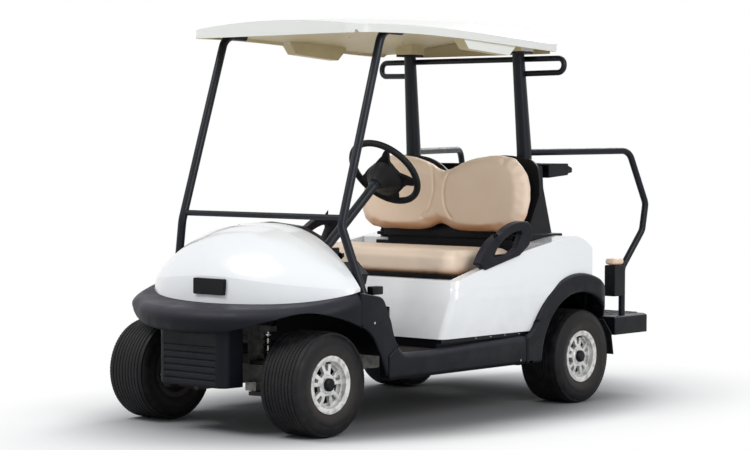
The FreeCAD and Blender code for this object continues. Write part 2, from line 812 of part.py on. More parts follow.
def chassis_frame():
    """Two box rails that rise over the rear axle, cross members and the front tower."""
    body = new_body("chassis_frame")
    low = S.rail_bottom
    high = S.rail_bottom + S.rail_height
    front = -S.front_overhang + 72 + S.panel_gap
    rear = S.step_front + 220
    wall = S.rail_wall

    def side_view(inset):
        return [
            (front - 1 * (inset > 0), low + inset), (S.kick_start, low + inset),
            (S.kick_end, low + S.kick_up + inset), (rear + 1 * (inset > 0), low + S.kick_up + inset),
            (rear + 1 * (inset > 0), high + S.kick_up - inset), (S.kick_end, high + S.kick_up - inset),
            (S.kick_start, high - inset), (front - 1 * (inset > 0), high - inset)]

    for side in SIDES:
        near, far = pair(side, S.rail_x - S.rail_width / 2, S.rail_x + S.rail_width / 2)
        pad(body, "YZ", near, far, side_view(0))
    members = ((front + 20, low, 40), (350, low, 50), (700, low, 50), (1240, low, 50),
               (S.step_front - 110, low + S.kick_up, 50))
    reach = S.rail_x - S.rail_width / 2 + 2
    for where, bottom, deep in members:
        pad(body, "YZ", -reach, reach, box_outline(where, bottom + 8, where + deep, bottom + 60))
    for where, bottom in ((S.wheelbase - 345, low), (S.wheelbase + 262, low + S.kick_up)):
        pad(body, "YZ", -272, 272, box_outline(where, bottom + 10, where + 40, bottom + 50))
    tower_top = high + TOWER_RISE
    pad(body, "XZ", -22, 22, both_halves([
        (0, tower_top - 40), (96, tower_top - 40), (S.rail_x - 22, high - 4),
        (S.rail_x + 20, high - 4), (158, tower_top - TOWER_FLANGE), (218, tower_top - TOWER_FLANGE),
        (218, tower_top), (0, tower_top)]))
    arm_top = S.upright_bottom - S.joint_gap
    for side in SIDES:
        near, far = pair(side, S.rail_x - 10, S.rail_x + S.rail_width / 2 + 24)
        pad(body, "XY", arm_top + S.panel_gap, low + 1, box_outline(near, -50, far, 50))
        near, far = pair(side, S.rail_x - 18, S.rail_x + 18)
        pad(body, "YZ", near, far, [
            (front, high - 1), (front + 24, high - 1), (front + 24, 474), (-290.7, 474), (-290.7, 444), (front, 444)])
        for where in (450, 900, 1180):
            pad(body, "XY", high - 1, S.floor_top - S.floor_plate - S.panel_gap,
                box_outline(near, where, far, where + 40))
    for side in SIDES:
        near, far = pair(side, S.rail_x - S.rail_width / 2 + wall, S.rail_x + S.rail_width / 2 - wall)
        pocket(body, "YZ", near, far, side_view(float(wall)))
    return body


keep(chassis_frame(), "chassis_frame")


def transaxle():
    """Rear axle tubes with the gear case and motor between them, drums and half shafts."""
    body = new_body("transaxle")
    z = S.tyre_radius
    drum_end = S.rear_tread / 2 - 58
    pad(body, "YZ", -drum_end + 40, drum_end - 40, (S.wheelbase, z, 34))
    pad(body, "YZ", -88, 75, (S.wheelbase, z, 88))
    pad(body, "YZ", 60, 230, (S.wheelbase, z, 65))
    for side in SIDES:
        near, far = pair(side, drum_end - 42, drum_end)
        pad(body, "YZ", near, far, (S.wheelbase, z, 73))
        near, far = pair(side, drum_end - 10, S.rear_tread / 2 + S.disc_face + 18)
        pad(body, "YZ", near, far, (S.wheelbase, z, S.spindle_radius))
    return body


keep(transaxle(), "transaxle")


def rear_springs():
    """Leaf springs under the axle tubes, with their eyes and shackles."""
    body = new_body("rear_springs")
    centre = S.wheelbase
    leaf_bottom = S.tyre_radius - 34 - 26
    front_eye = S.wheelbase - 325
    rear_eye = S.wheelbase + 282
    for side in SIDES:
        near, far = pair(side, 268 - 30, 268)
        pad(body, "YZ", near, far, [
            (front_eye, S.rail_bottom - 16), (centre - 60, leaf_bottom), (centre + 60, leaf_bottom),
            (rear_eye, S.rail_bottom + 36), (rear_eye, S.rail_bottom + 50),
            (centre + 60, leaf_bottom + 26), (centre - 60, leaf_bottom + 26),
            (front_eye, S.rail_bottom - 2)])
        pad(body, "YZ", near, far, (front_eye, S.rail_bottom - 6, 16))
        pad(body, "YZ", near, far, (rear_eye, S.rail_bottom + 44, 16))
        pad(body, "YZ", near, far, box_outline(
            rear_eye - 12, S.rail_bottom + 44, rear_eye + 12, S.rail_bottom + S.kick_up + 10))
    return body


keep(rear_springs(), "rear_springs")


def shock_absorbers():
    """Rear dampers from the axle up to the rails."""
    shapes = []
    for side in SIDES:
        low = vector(side * 300, S.wheelbase + 42.4, S.tyre_radius)
        high = vector(side * 262, S.wheelbase + 257.9, S.rail_bottom + S.kick_up + 40)
        way = high - low
        shapes.append(fuse_all([
            Part.makeCylinder(9, way.Length, low, way),
            Part.makeCylinder(21, way.Length * 0.5, low + way * 0.15, way),
        ]))
    return feature_of(Part.makeCompound(shapes), "shock_absorbers")


keep(shock_absorbers(), "shock_absorbers")

keep_block = new_body("battery_pack")
pad(keep_block, "XY", S.floor_top + 0.5, S.seat_base - 36,
    box_outline(-400, S.body_front + 60, 400, S.cushion_rear - 40))
keep(keep_block, "battery_pack")


# ---------------------------------------------------------------------------
# Floor, sills and front mouldings
# ---------------------------------------------------------------------------


def floor_pan():
    """Toe board and floor in one sheet, with the plinth that the seat pod stands on."""
    body = new_body("floor_pan")
    half = S.floor_half_width
    top = S.floor_top
    low = S.floor_top - S.floor_plate
    back = S.cushion_rear
    pad(body, "YZ", -half, half, [
        (238, 570), (300, 470), (341, 366, 95), (396, top), (back, top), (back, low),
        (390, low, -109), (327, 360), (286, 463), (225, 562)])
    side_x = S.body_half_width - 28
    pad(body, "XY", top, S.body_bottom - 0.5,
        box_outline(-half, 668, half, 680),
        box_outline(-half, back - 12, half, back))
    for side in SIDES:
        near, far = pair(side, half - 12, side_x)
        pad(body, "XY", S.sill_top + 22.5, S.body_bottom - 0.5, box_outline(near, 668, far, back))
        near, far = pair(side, half - 12, half)
        pad(body, "XY", top, S.body_bottom - 0.5, box_outline(near, 680, far, back - 12))
    return body


keep(floor_pan(), "floor_pan")


SILL_FRONT = 289.5
SILL_END = 1225


def side_sills():
    """Moulded sills below the door openings, hollow from inside."""
    body = new_body("side_sills")
    outer = S.overall_width / 2 - 3
    inner = S.floor_half_width + S.panel_gap
    low, high = S.sill_bottom, S.sill_top
    start, end = SILL_FRONT + 0.4, SILL_END
    for side in SIDES:
        near, far = pair(side, inner, outer)
        pad(body, "YZ", near, far, [
            (start, low + 15), (start + 16, low), (end, low), (end, high + 22), (829, high + 9),
            (560, high), (430, high + 3, -90), (353.4, 351.5), (start, 311.5)])
    round_edges(body, 24, lambda e: (
        abs(abs(middle(e).x) - float(outer)) < 1 and not runs(e, "Z") and middle(e).y > 330))
    for side in SIDES:
        near, far = pair(side, inner - 1, outer - 7)
        pocket(body, "YZ", near, far, [
            (345, low + 18), (end - 10, low + 18), (end - 10, high - 8), (829, high - 22), (360, high - 26)])
    return body


keep(side_sills(), "side_sills")


def bumper_plan(inset, back):
    """Plan outline of the bumper: a shallow front arc and a tight arc at each corner."""
    width = S.bumper_corner_x
    deep = S.bumper_corner_y
    front_radius = (width * width + deep * deep) / (2 * deep)
    corner_radius = 350
    return both_halves([
        (0, -S.front_overhang + inset, front_radius - inset),
        (width - inset * 0.51, -S.front_overhang + deep + inset * 0.86, corner_radius - inset),
        (S.bumper_half_width - inset, dim(back)),
        (0, dim(back))])


def deck_radius():
    """Radius of the bumper's hollow-curved top, level at the front."""
    length = float(S.bumper_end + S.front_overhang)
    rise = float(S.bumper_side_top - S.bumper_top)
    return (length * length + rise * rise) / (2 * rise)


def bumper_deck(y):
    """Height of the bumper's top at a distance behind the front axle."""
    radius = deck_radius()
    along = float(y) + float(S.front_overhang)
    return float(S.bumper_top) + radius - math.sqrt(radius * radius - along * along)


def above_deck(body, drop, height):
    """Cuts away what lies above the bumper's curved top, or above a line lower by drop."""
    front, back = -S.front_overhang, S.bumper_end
    wide = S.overall_width
    pocket(body, "YZ", -wide, wide, [
        (front - 1, S.bumper_top - drop), (front, S.bumper_top - drop, deck_radius()),
        (back, S.bumper_side_top - drop), (back + 2, S.bumper_side_top - drop),
        (back + 2, height), (front - 1, height)])


def front_bumper():
    """Wrap-round bumper with full edges, hollow inside and open over the wheels."""
    body = new_body("FrontBumper")
    low, high = S.bumper_bottom, S.bumper_side_top
    back = S.bumper_end
    far = S.overall_width
    tall = high + 40
    pad(body, "XY", low, high + 1, bumper_plan(dim(0), back))
    above_deck(body, 0, tall)
    round_edges(body, S.bumper_round, lambda e: (
        not flat_at(e, "Y", back) and not runs(e, "Z") and not runs(e, "X") and e.BoundBox.YLength > 20))
    hollow = new_body("BumperHollow")
    pad(hollow, "XY", low - 1, low + 18, bumper_plan(dim(50), back + 1))
    pad(hollow, "XY", low + 17, high, bumper_plan(dim(24), back + 1))
    above_deck(hollow, 34, tall)
    shell = boolean("Cut", "BumperShell", body, hollow)
    cutters = new_body("BumperCutters")
    pad(cutters, "YZ", -far, far, [
        (-300, low - 2, -260), (-185, 478, -160), (-75, 502, -900), (back + 1, 440), (back + 1, low - 2)])
    pad(cutters, "XY", 480, high + 1, box_outline(S.wheel_x - 66, 70, S.wheel_x + 12, back + 1))
    return boolean("Cut", "front_bumper_shape", shell, cutters)


keep(front_bumper(), "front_bumper")


def cowl_side_panels():
    """Mouldings from the bumper's ends down to the sills, with a return along the doorway."""
    body = new_body("cowl_side_panels")
    outer = S.bumper_half_width + 1
    start = S.bumper_end + S.panel_gap
    doorway = [(SILL_FRONT, 312), (353, 352, -90), (326, 392), (305, 456), (268, 530, 60), (222, 560)]
    for side in SIDES:
        near, far = pair(side, outer - 14, outer)
        pad(body, "YZ", near, far, [
            (start, 440, -170), (222, 350), (SILL_FRONT, 226)] + doorway + [(start, S.bumper_side_top)])
        near, far = pair(side, S.floor_half_width + S.panel_gap, outer)
        pad(body, "YZ", near, far, doorway + [(214, 549), (256, 521), (295, 448), (314, 384)])
    round_edges(body, 7, lambda e: (
        flat_at(e, "X", outer) or flat_at(e, "X", -outer)) and middle(e).y > 150 and not (
        middle(e).z < 340 and middle(e).y > 280) and not runs(e, "Y"))
    return body


keep(cowl_side_panels(), "cowl_side_panels")

# Sections of the hood: share of the half width, nose, shoulder, top, rear edge,
# height of the rear edge, radius of the arc over the top
HOOD_SECTIONS = [
    (0.0, -S.hood_front, 632, (80, S.hood_top - 10), S.hood_rear, S.hood_top, 330),
    (0.53, -S.hood_front + 50, 612, (95, S.hood_top - 66), S.hood_rear - 13, S.hood_top - 55, 290),
    (0.81, -S.hood_front + 135, 598, (100, S.hood_top - 160), S.hood_rear - 32, S.hood_top - 152, 170),
    (1.0, -S.hood_front + 248, 587, (120, 593), S.hood_rear - 55, 594, 60),
]


def hood_outline(section, inset):
    """One lengthwise section of the hood."""
    share, nose, shoulder, (top_y, top_z), rear, rear_z, radius = section
    drop = 30 if inset else 0
    back = 30 if inset else 0
    rear_low = S.bumper_side_top + S.panel_gap + 3 - drop
    return [
        (nose + inset, bumper_deck(nose) + S.panel_gap + 1 - drop),
        (nose + inset + 10, shoulder - inset * 0.4, -radius + inset),
        (top_y, top_z - inset), (rear + back, rear_z - inset), (rear + back, rear_low)]


def hood_loft(body, kind, inset):
    """The hood's outer shape, or its hollow."""
    half = S.hood_half_width - inset
    ordered = [(-1, s) for s in HOOD_SECTIONS[:0:-1]] + [(1, s) for s in HOOD_SECTIONS]
    loft(body, kind, "YZ", [
        (sign * section[0] * half, hood_outline(section, float(inset))) for sign, section in ordered])


def front_cowl():
    """The painted hood, lofted across the cart and hollow from below."""
    body = new_body("front_cowl")
    hood_loft(body, "Additive", dim(0))
    hood_loft(body, "Subtractive", S.panel_wall)
    return body


keep(front_cowl(), "front_cowl")


def badge_plate():
    """Blank plate that follows the nose of the hood."""
    plate = new_body("BadgePlate")
    half, low, high = 86, 556, 622
    pad(plate, "XZ", -S.hood_front - 6, -S.hood_front + 30, box_outline(-half, low, half, high))
    round_edges(plate, 6, lambda e: runs(e, "Y"))
    hood = new_body("HoodSolid")
    hood_loft(hood, "Additive", dim(0))
    return boolean("Cut", "badge_plate_shape", plate, hood)


keep(badge_plate(), "badge_plate")


def lower_front_cover():
    """Ribbed box below the bumper, open at the back."""
    body = new_body("lower_front_cover")
    low, high = 190, S.bumper_bottom + 30
    front = -S.front_overhang + 68
    back = -S.front_overhang + 176
    wall = 4

    def plan(inset, behind):
        return both_halves([
            (0, front + inset), (146, front + inset, 46 - inset), (192 - inset, front + 46),
            (198 - inset, back + behind), (0, back + behind)])

    pad(body, "XY", low, high, plan(0, 0))
    round_edges(body, 10, lambda e: flat_at(e, "Z", low) and not flat_at(e, "Y", back))
    pocket(body, "XY", low + wall, high + 1, plan(wall, 1))
    ribs = 6
    pitch = 27
    groove = pocket(body, "XZ", front - 1, front + 2.5, box_outline(-146, low + 22, 146, low + 31))
    repeat(body, [groove], "Z", pitch * (ribs - 1), ribs)
    return body


keep(lower_front_cover(), "lower_front_cover")


def dashboard():
    """Moulding behind the hood with a bin on each side and a slot for the column."""
    body = new_body("dashboard")
    half = 470
    start = S.hood_rear + S.panel_gap
    high = S.hood_top
    pad(body, "YZ", -half, half, [
        (start, high - 6), (start + 14, high + 4, -30), (start + 46, high - 6), (310, 770),
        (318, 700), (286, 600), (250, 590), (start, 640)])
    for side in SIDES:
        cap = mirrored(side, [(0, high + 30), (0, high + 4), (170, high - 12, 700),
                              (380, high - 138), (471, high - 200), (471, high + 30)])
        pocket(body, "XZ", start - 1, 330, cap)
    for side in SIDES:
        near, far = pair(side, 30 if side < 0 else 300, 400)
        pocket(body, "YZ", near, far, [(222, 640), (230, 740), (330, 740), (330, 652)])
    low, top_z = 560, 850
    column_y = S.wheel_y - (S.wheel_z - 560) * 1.2045
    upper_y = S.wheel_y - (S.wheel_z - 850) * 1.2045
    pocket(body, "YZ", S.wheel_x - 44, S.wheel_x + 44, [
        (column_y - 44, low), (column_y + 60, low), (upper_y + 60, top_z), (upper_y - 44, top_z)])
    return body


keep(dashboard(), "dashboard")


def pedals():
    """Accelerator and brake pedals on the toe board."""
    body = new_body("pedals")
    for low_x, high_x in ((120, 215), (262, 330)):
        pad(body, "YZ", low_x, high_x, [(372, 392), (378, 388), (336, 470), (328, 468)])
        middle_x = (low_x + high_x) / 2
        pad(body, "YZ", middle_x - 10, middle_x + 10, [
            (352, 424), (346, 436), (309.7, 446), (314.5, 434)])
    return body


keep(pedals(), "pedals")


# ---------------------------------------------------------------------------
# Seat pod and the pieces round it
# ---------------------------------------------------------------------------
RECESS_HALF = 529
RECESS_REAR = 1432
WELL_HALF = 262
WELL_FRONT = 1480
CORNER_ROUND = 160
POD_CORNER = 35
FLARE_INNER_X = 430
FLARE_LIP = 34


def pod_side(inset, below):
    """Side view of the seat pod."""
    rear = S.body_rear - inset
    low = S.body_bottom - below
    return [
        (662 + inset, low), (rear, low), (rear, 600, 196 - inset), (1622, 760 - inset, 6600),
        (748 + inset * 0.4, 592 - inset)]


def pod_front(inset, below):
    """Front view of the seat pod, with the crease along its sides."""
    wide = S.body_half_width - inset
    return both_halves([
        (0, S.body_bottom - below), (wide - 16, S.body_bottom - below), (wide, 500, 90),
        (wide - 6, 560), (wide - 46, 800), (0, 800)])


def plan_corners(inset):
    """Plan view of the seat pod; the flares follow its rear corners."""
    wide = S.body_half_width + 10 - inset
    rear = S.body_rear - inset + 0.6
    return both_halves([
        (0, 640), (wide, 640), (wide, rear - CORNER_ROUND, CORNER_ROUND - inset), (wide - CORNER_ROUND + inset, rear), (0, rear)])


def pod_block(name, inset, below):
    """The solid common to the three views."""
    blocks = []
    views = (("YZ", pod_side(inset, below), -700, 700),
             ("XZ", pod_front(inset, below), 600, 2000),
             ("XY", plan_corners(inset), 200, 900))
    for plane, view, start, end in views:
        block = new_body(name + plane)
        pad(block, plane, start, end, view)
        blocks.append(block)
    first = boolean("Common", name + "First", blocks[0], blocks[1])
    return boolean("Common", name, first, blocks[2])


def soften(name, solid, radius, chosen):
    """A solid with the chosen edges rounded."""
    doc.recompute()
    fillet = doc.addObject("Part::Fillet", name)
    fillet.Base = solid
    fillet.Edges = [
        (number, float(radius), float(radius))
        for number, edge in enumerate(solid.Shape.Edges, 1) if chosen(edge)]
    solid.Visibility = False
    doc.recompute()
    return fillet


def on_pod_corner(edge):
    """An edge where the pod's sloping front meets a side."""
    spot = middle(edge)
    return spot.y < 800 and abs(spot.x) > 480 and edge.BoundBox.ZLength > 15


def flare_edge(radius, start):
    """A wheel opening as seen from the side, with its legs down to the ground."""
    centre_y = S.wheelbase - 19
    centre_z = 205
    return [
        (centre_y - radius, start), (centre_y - radius, centre_z, -radius),
        (centre_y, centre_z + radius, -radius), (centre_y + radius, centre_z),
        (centre_y + radius, start)]


def rear_body():
    """The painted pod: hollow, with the seat deck, battery hatch, bag recess and wheel arches."""
    outer = soften("PodSoft", pod_block("PodOuter", dim(0), 0), POD_CORNER, on_pod_corner)
    inner = soften("PodInnerSoft", pod_block("PodInner", S.panel_wall, 20), POD_CORNER - S.panel_wall,
                   on_pod_corner)
    wall = S.panel_wall
    deck = S.seat_base
    keep_out = new_body("PodRecesses")
    pad(keep_out, "YZ", -(RECESS_HALF + wall), RECESS_HALF + wall,
        box_outline(600, deck - wall, RECESS_REAR + wall, 900))
    pad(keep_out, "YZ", -(WELL_HALF + wall), WELL_HALF + wall,
        box_outline(WELL_FRONT - wall, 520 - wall, 1800 + wall, 900))
    hollow = boolean("Cut", "PodHollow", inner, keep_out)
    skin = boolean("Cut", "PodSkin", outer, hollow)
    cutters = new_body("PodCutters")
    pad(cutters, "YZ", -RECESS_HALF, RECESS_HALF, box_outline(600, deck, RECESS_REAR, 900))
    pad(cutters, "YZ", -420, 420, box_outline(800, deck - 30, 1270, deck + 1))
    pad(cutters, "YZ", -WELL_HALF, WELL_HALF, box_outline(WELL_FRONT, 520, 1800, 900))
    for side in SIDES:
        near, far = pair(side, FLARE_INNER_X - S.panel_gap, 700)
        pad(cutters, "YZ", near, far, flare_edge(S.arch_radius + S.flare_width + S.panel_gap, 300))
        near, far = pair(side, S.overall_width / 2 - FLARE_LIP - S.panel_gap, 700)
        pad(cutters, "YZ", near, far, [
            (1226 - S.panel_gap, 300), (1361, 300), (1361, 421), (1302.6, 392.6, -80),
            (1226 - S.panel_gap, S.sill_top + 22.6)])
        near, far = pair(side, 368, FLARE_INNER_X + 1)
        pad(cutters, "YZ", near, far, flare_edge(S.arch_radius - 36, 300))
        near, far = pair(side, S.rail_x - S.rail_width / 2 - 6, S.rail_x + S.rail_width / 2 + 6)
        pad(cutters, "YZ", near, far, box_outline(
            S.body_rear - 30, S.body_bottom - 10, S.body_rear + 10, S.rail_bottom + S.rail_height + S.kick_up + 6))
    return boolean("Cut", "rear_body_shape", skin, cutters)


keep(rear_body(), "rear_body")
POD_CLEAR = pod_block("PodClear", -S.panel_gap, 0)


def rear_wheel_flares():
    """Moulded flares round the rear wheels and the pod's rear corners, hollow from inside."""
    body = new_body("rear_wheel_flares")
    wide = S.overall_width / 2
    lip = FLARE_LIP
    outer_radius = S.arch_radius + S.flare_width
    rear = S.flare_rear
    for side in SIDES:
        near, far = pair(side, FLARE_INNER_X, wide)
        pad(body, "YZ", near, far, flare_edge(outer_radius, S.sill_bottom + 2))
    pocket(body, "XY", 150, 700, box_outline(-wide, rear, wide, rear + 300))
    for side in SIDES:
        near, far = pair(side, wide - lip, wide)
        pad(body, "YZ", near, far, [
            (1226, S.sill_bottom), (1360, S.sill_bottom), (1360, 420), (1303, 392, -80),
            (1226, S.sill_top + 22)])
    for side in SIDES:
        near, far = pair(side, FLARE_INNER_X - 1, wide + 1)
        pocket(body, "YZ", near, far, flare_edge(S.arch_radius, 100))
        pocket(body, "YZ", near, far, box_outline(S.wheelbase, 100, 2100, 371))
        near, far = pair(side, FLARE_INNER_X - 1, wide - lip)
        pocket(body, "YZ", near, far, box_outline(1200, 100, 1500, S.body_bottom))
        corner = rear - CORNER_ROUND
        pocket(body, "XY", 150, 700, mirrored(side, [
            (wide + 1, corner, CORNER_ROUND), (wide + 1 - CORNER_ROUND, rear),
            (wide + 1 - CORNER_ROUND, rear + 300), (wide + 60, rear + 300), (wide + 60, corner)]))
        for inner_end, back in ((wide - lip, rear - 105), (wide - 92, rear - 30)):
            near, far = pair(side, FLARE_INNER_X + 6, inner_end)
            edge = flare_edge(outer_radius - 6, 150)
            pocket(body, "YZ", near, far, edge[:3] + [(S.wheelbase - 19, 150)])
            height = 205 + math.sqrt(float(outer_radius - 6) ** 2 - float(back - S.wheelbase + 19) ** 2)
            pocket(body, "YZ", near, far, [
                (S.wheelbase - 20, 150), (back, 150), (back, height, outer_radius - 6),
                (S.wheelbase - 20, dim(205) + outer_radius - 6)])
    return body


keep(rear_wheel_flares(), "rear_wheel_flares")


def bag_well():
    """Black liner of the bag recess, open at the top."""
    body = new_body("bag_well")
    gap, wall = S.panel_gap, 4
    half = WELL_HALF - gap
    front, rear, floor = WELL_FRONT + gap, 1800 - gap, 520 + gap
    pad(body, "XY", floor, 738, box_outline(-half, front, half, rear))
    round_edges(body, 24, lambda e: runs(e, "Z"))
    pocket(body, "XY", floor + wall, 739, box_outline(-half + wall, front + wall, half - wall, rear - wall))
    return body


keep(bag_well(), "bag_well")


def seat_cushion():
    """Bench cushion, a plain block with rounded edges."""
    body = new_body("seat_cushion")
    low = S.seat_base + S.seat_plate + 1
    half = S.cushion_half_width
    pad(body, "XY", low, low + S.cushion_height,
        box_outline(-half, S.cushion_front, half, S.cushion_rear))
    round_edges(body, 60, lambda e: runs(e, "Z"))
    round_edges(body, 26, lambda e: flat_at(e, "Z", float(low + S.cushion_height)))
    return body


keep(seat_cushion(), "seat_cushion")


def seat_base_plate():
    """Board under the cushion with the hinge leaves at the back."""
    body = new_body("seat_base_plate")
    half = S.cushion_half_width
    low = S.seat_base + 0.5
    pad(body, "XY", low, low + S.seat_plate,
        box_outline(-half, S.cushion_front + 6, half, S.cushion_rear))
    for side in SIDES:
        near, far = pair(side, 300, 360)
        pad(body, "YZ", near, far, box_outline(S.cushion_rear - 2, low + 6, S.hinge_y, low + 12))
        pad(body, "YZ", near, far, (S.hinge_y, S.seat_base + 10, 7))
    return body


keep(seat_base_plate(), "seat_base_plate")

# Backrest outline, right half: across, height, radius of the arc to the next point
BACKREST_EDGE = [
    (0, 806, 0), (70, 780, 0), (120, 776, 0), (385, 776, 70), (462, 836, 0), (498, 950, 420),
    (478, 1080, 75), (408, 1128, 520), (200, 1136, 300), (60, 1078, -60), (0, 1062, 0),
]


def backrest_outline(grow):
    """The two-lobed outline of the backrest."""
    half = []
    for x, z, radius in BACKREST_EDGE:
        across = S.backrest_half_width * (x / 498.0) + (grow if x else 0)
        height = dim(z) + (grow if z > 960 else -grow)
        half.append((across, height, radius) if radius else (across, height))
    return both_halves(half)


def seat_back_cushion():
    """Two-lobed back cushion, upright here and leaned back by its Placement."""
    body = new_body("seat_back_cushion")
    pad(body, "XZ", 0, S.backrest_depth, backrest_outline(0))
    return body


LEAN = math.radians(float(S.backrest_lean))
LEAN_PIVOT = float(S.backrest_bottom)


def lean_place(offset):
    """Placement that leans a piece back about the backrest's lower edge."""
    back = float(S.backrest_front) - 16 + offset * math.cos(LEAN)
    y = back - LEAN_PIVOT * math.sin(LEAN)
    z = LEAN_PIVOT * (1 - math.cos(LEAN)) - offset * math.sin(LEAN)
    return y, z


for label, maker, offset in (("seat_back_cushion", seat_back_cushion, 0.0),):
    lean_y, lean_z = lean_place(offset)
    keep(maker(), label, y=lean_y, z=lean_z, axis=(1, 0, 0), angle=-S.backrest_lean)


def seat_back_shell():
    """Thin moulded shell behind the back cushion."""
    body = new_body("seat_back_shell")
    depth = 14
    pad(body, "XZ", 0, depth, backrest_outline(-4))
    return body


lean_y, lean_z = lean_place(float(S.backrest_depth) + 0.5)
keep(seat_back_shell(), "seat_back_shell", y=lean_y, z=lean_z, axis=(1, 0, 0),
     angle=-S.backrest_lean)


def seat_back_support():
    """Black cross panel under the backrest and the two towers beside the rear struts."""
    feet = new_body("TowerFeet")
    deck = 770
    near_x = S.rear_strut_x + 48
    for side in SIDES:
        near, far = pair(side, near_x - 90, near_x + 78)
        pad(feet, "YZ", near, far, [(1455, 715), (1700, 715), (1700, deck), (1455, deck)])
    feet = boolean("Cut", "TowerFeetCut", feet, POD_CLEAR)
    body = new_body("BackPanel")
    panel_rear = RECESS_REAR - S.panel_gap
    low = S.seat_base + S.panel_gap
    pad(body, "XZ", panel_rear - 14, panel_rear, both_halves([
        (0, low), (442, low), (442, 722), (368, 722), (368, 761), (52, 761), (0, 790)]))
    pad(body, "YZ", -(near_x + 66), near_x + 66, box_outline(panel_rear - 14, 746, 1475, 762))
    for side in SIDES:
        near, far = pair(side, near_x, near_x + 66)
        pad(body, "YZ", near, far, [
            (1444.9, deck - 6), (1636, deck - 6), (1566, 980), (1556, 1082), (1483.1, 1082)])
        near, far = pair(side, near_x + 6, near_x + 60)
        pocket(body, "YZ", near, far, [
            (1452, deck + 1), (1627, deck + 1), (1560, 976), (1550, 1076), (1489, 1076)])
    whole = doc.addObject("Part::MultiFuse", "seat_back_support_shape")
    whole.Shapes = [feet, body]
    doc.recompute()
    return whole


keep(seat_back_support(), "seat_back_support")


def hip_restraints():
    """Side grips beside the seat, each with its hand hole, standing on the pod's shoulder."""
    body = new_body("HipGrips")
    near_x, far_x = 549, 585
    for side in SIDES:
        near, far = pair(side, near_x, far_x)
        pad(body, "YZ", near, far, [
            (893, 662), (948, 634), (1190, 688), (1252, 726, 90), (1281, 796, 46),
            (1236, 838, 260), (1060, 794, 260)], [
            (1004, 696), (1030, 725, -230), (1118, 780, -230), (1196, 796), (1207, 783), (1172, 722),
            (1119, 699)])
    round_edges(body, 8, lambda e: flat_at(e, "X", far_x) or flat_at(e, "X", -far_x))
    return boolean("Cut", "hip_restraints_shape", body, POD_CLEAR)


keep(hip_restraints(), "hip_restraints")


# ---------------------------------------------------------------------------
# Canopy and tubes
# ---------------------------------------------------------------------------
# Canopy sections: share of the length, half width, drop of the rim, crown above the ground
CANOPY_SECTIONS = [
    (0.0, 0.895, 0.0, 1690), (0.14, 0.955, -0.15, 1704), (0.52, 1.0, 0.25, 1729),
    (0.85, 0.99, 0.9, 1738), (1.0, 0.94, 1.0, 1733),
]


def canopy_sections(inset, skin):
    """Cross sections of the canopy; an inset set is the recess of its underside."""
    sections = []
    length = S.canopy_rear - S.canopy_front
    for share, width, drop, crown in CANOPY_SECTIONS:
        at = S.canopy_front + length * share
        low = S.canopy_edge - S.canopy_drop * drop
        wide = S.canopy_half_width * width - inset
        rise = (dim(crown) - low - S.canopy_fascia) * (0.5 if inset else 1.0)
        chord = wide - 6
        radius = (chord * chord + rise * rise) / (2 * rise)
        rim = low + (skin if inset else S.canopy_fascia)
        base = low - (2 if inset else 0)
        sections.append((at, [(-wide, base), (wide, base), (chord, rim, radius), (-chord, rim)]))
    return sections


def canopy():
    """Crowned roof moulding with a recessed underside, hand grips and strut bosses."""
    body = new_body("canopy")
    loft(body, "Additive", "XZ", canopy_sections(0, 0))
    inner = canopy_sections(16, 12)
    length = S.canopy_rear - S.canopy_front
    inner[0] = (S.canopy_front + 16, inner[0][1])
    inner[-1] = (S.canopy_front + length - 16, inner[-1][1])
    loft(body, "Subtractive", "XZ", inner)
    wide = S.canopy_half_width + 30
    for side in SIDES:
        front, rear = S.canopy_front, S.canopy_rear
        for edge_y, way, radius in ((front, 1, 90), (rear, -1, 190)):
            half = S.canopy_half_width * (0.9 if way > 0 else 0.945)
            start_y = edge_y + way * radius * 0.9
            bulge = side * way * radius * 1.1
            pocket(body, "XY", 1500, 1800, [
                (side * (half - radius), edge_y, bulge), (side * (half + 12), start_y),
                (side * wide, start_y), (side * wide, edge_y - way * 5),
                (side * (half - radius), edge_y - way * 5)])
    for side in SIDES:
        near, far = pair(side, 474, 527)
        pad(body, "YZ", near, far, [
            (846, 1632), (888, 1584), (1178, 1566), (1232, 1614), (1232, 1630), (846, 1642)])
        near, far = pair(side, 486, 516)
        pocket(body, "YZ", near, far, [
            (894, 1593), (1170, 1576), (1198, 1606), (874, 1620)])
        near, far = pair(side, S.strut_x - S.strut_radius - 2, S.strut_x + S.strut_radius + 2)
        pocket(body, "YZ", near, far, box_outline(330, 1500, 530, FRONT_RUN + S.strut_radius + 0.2))
        near, far = pair(side, S.rear_strut_x - 48, S.rear_strut_x + 48)
        pad(body, "YZ", near, far, box_outline(1474, REAR_STRUT_TOP + 0.2, 1568, 1672))
    return body


FRONT_RUN = 1646
REAR_STRUT_TOP = 1600
keep(canopy(), "canopy")


def front_struts():
    """Bent tubes up to the canopy's front bosses, with the cross bar between them."""
    shapes = []
    for side in SIDES:
        shapes.append(tube([
            vector(side * S.strut_x, 526, FRONT_RUN), vector(side * S.strut_x, 402, FRONT_RUN),
            vector(side * (S.strut_x + 6), 146, 842), vector(side * (S.strut_x + 94), 196, 536)],
            S.strut_radius, 70))
    bar = Part.makeCylinder(float(S.bar_radius), float(2 * S.strut_x),
                            vector(-S.strut_x, 156, 874), FreeCAD.Vector(1, 0, 0))
    return feature_of(fuse_all(shapes + [bar]), "front_struts")


keep(front_struts(), "front_struts")


def oval(x, y, wide, deep):
    """An oval outline of four arcs, round a centre."""
    corner_x, corner_y = wide * 0.36, deep * 0.36
    return [
        (x - corner_x, y - corner_y, wide * 0.62), (x + corner_x, y - corner_y, deep * 0.62),
        (x + corner_x, y + corner_y, wide * 0.62), (x - corner_x, y + corner_y, deep * 0.62)]


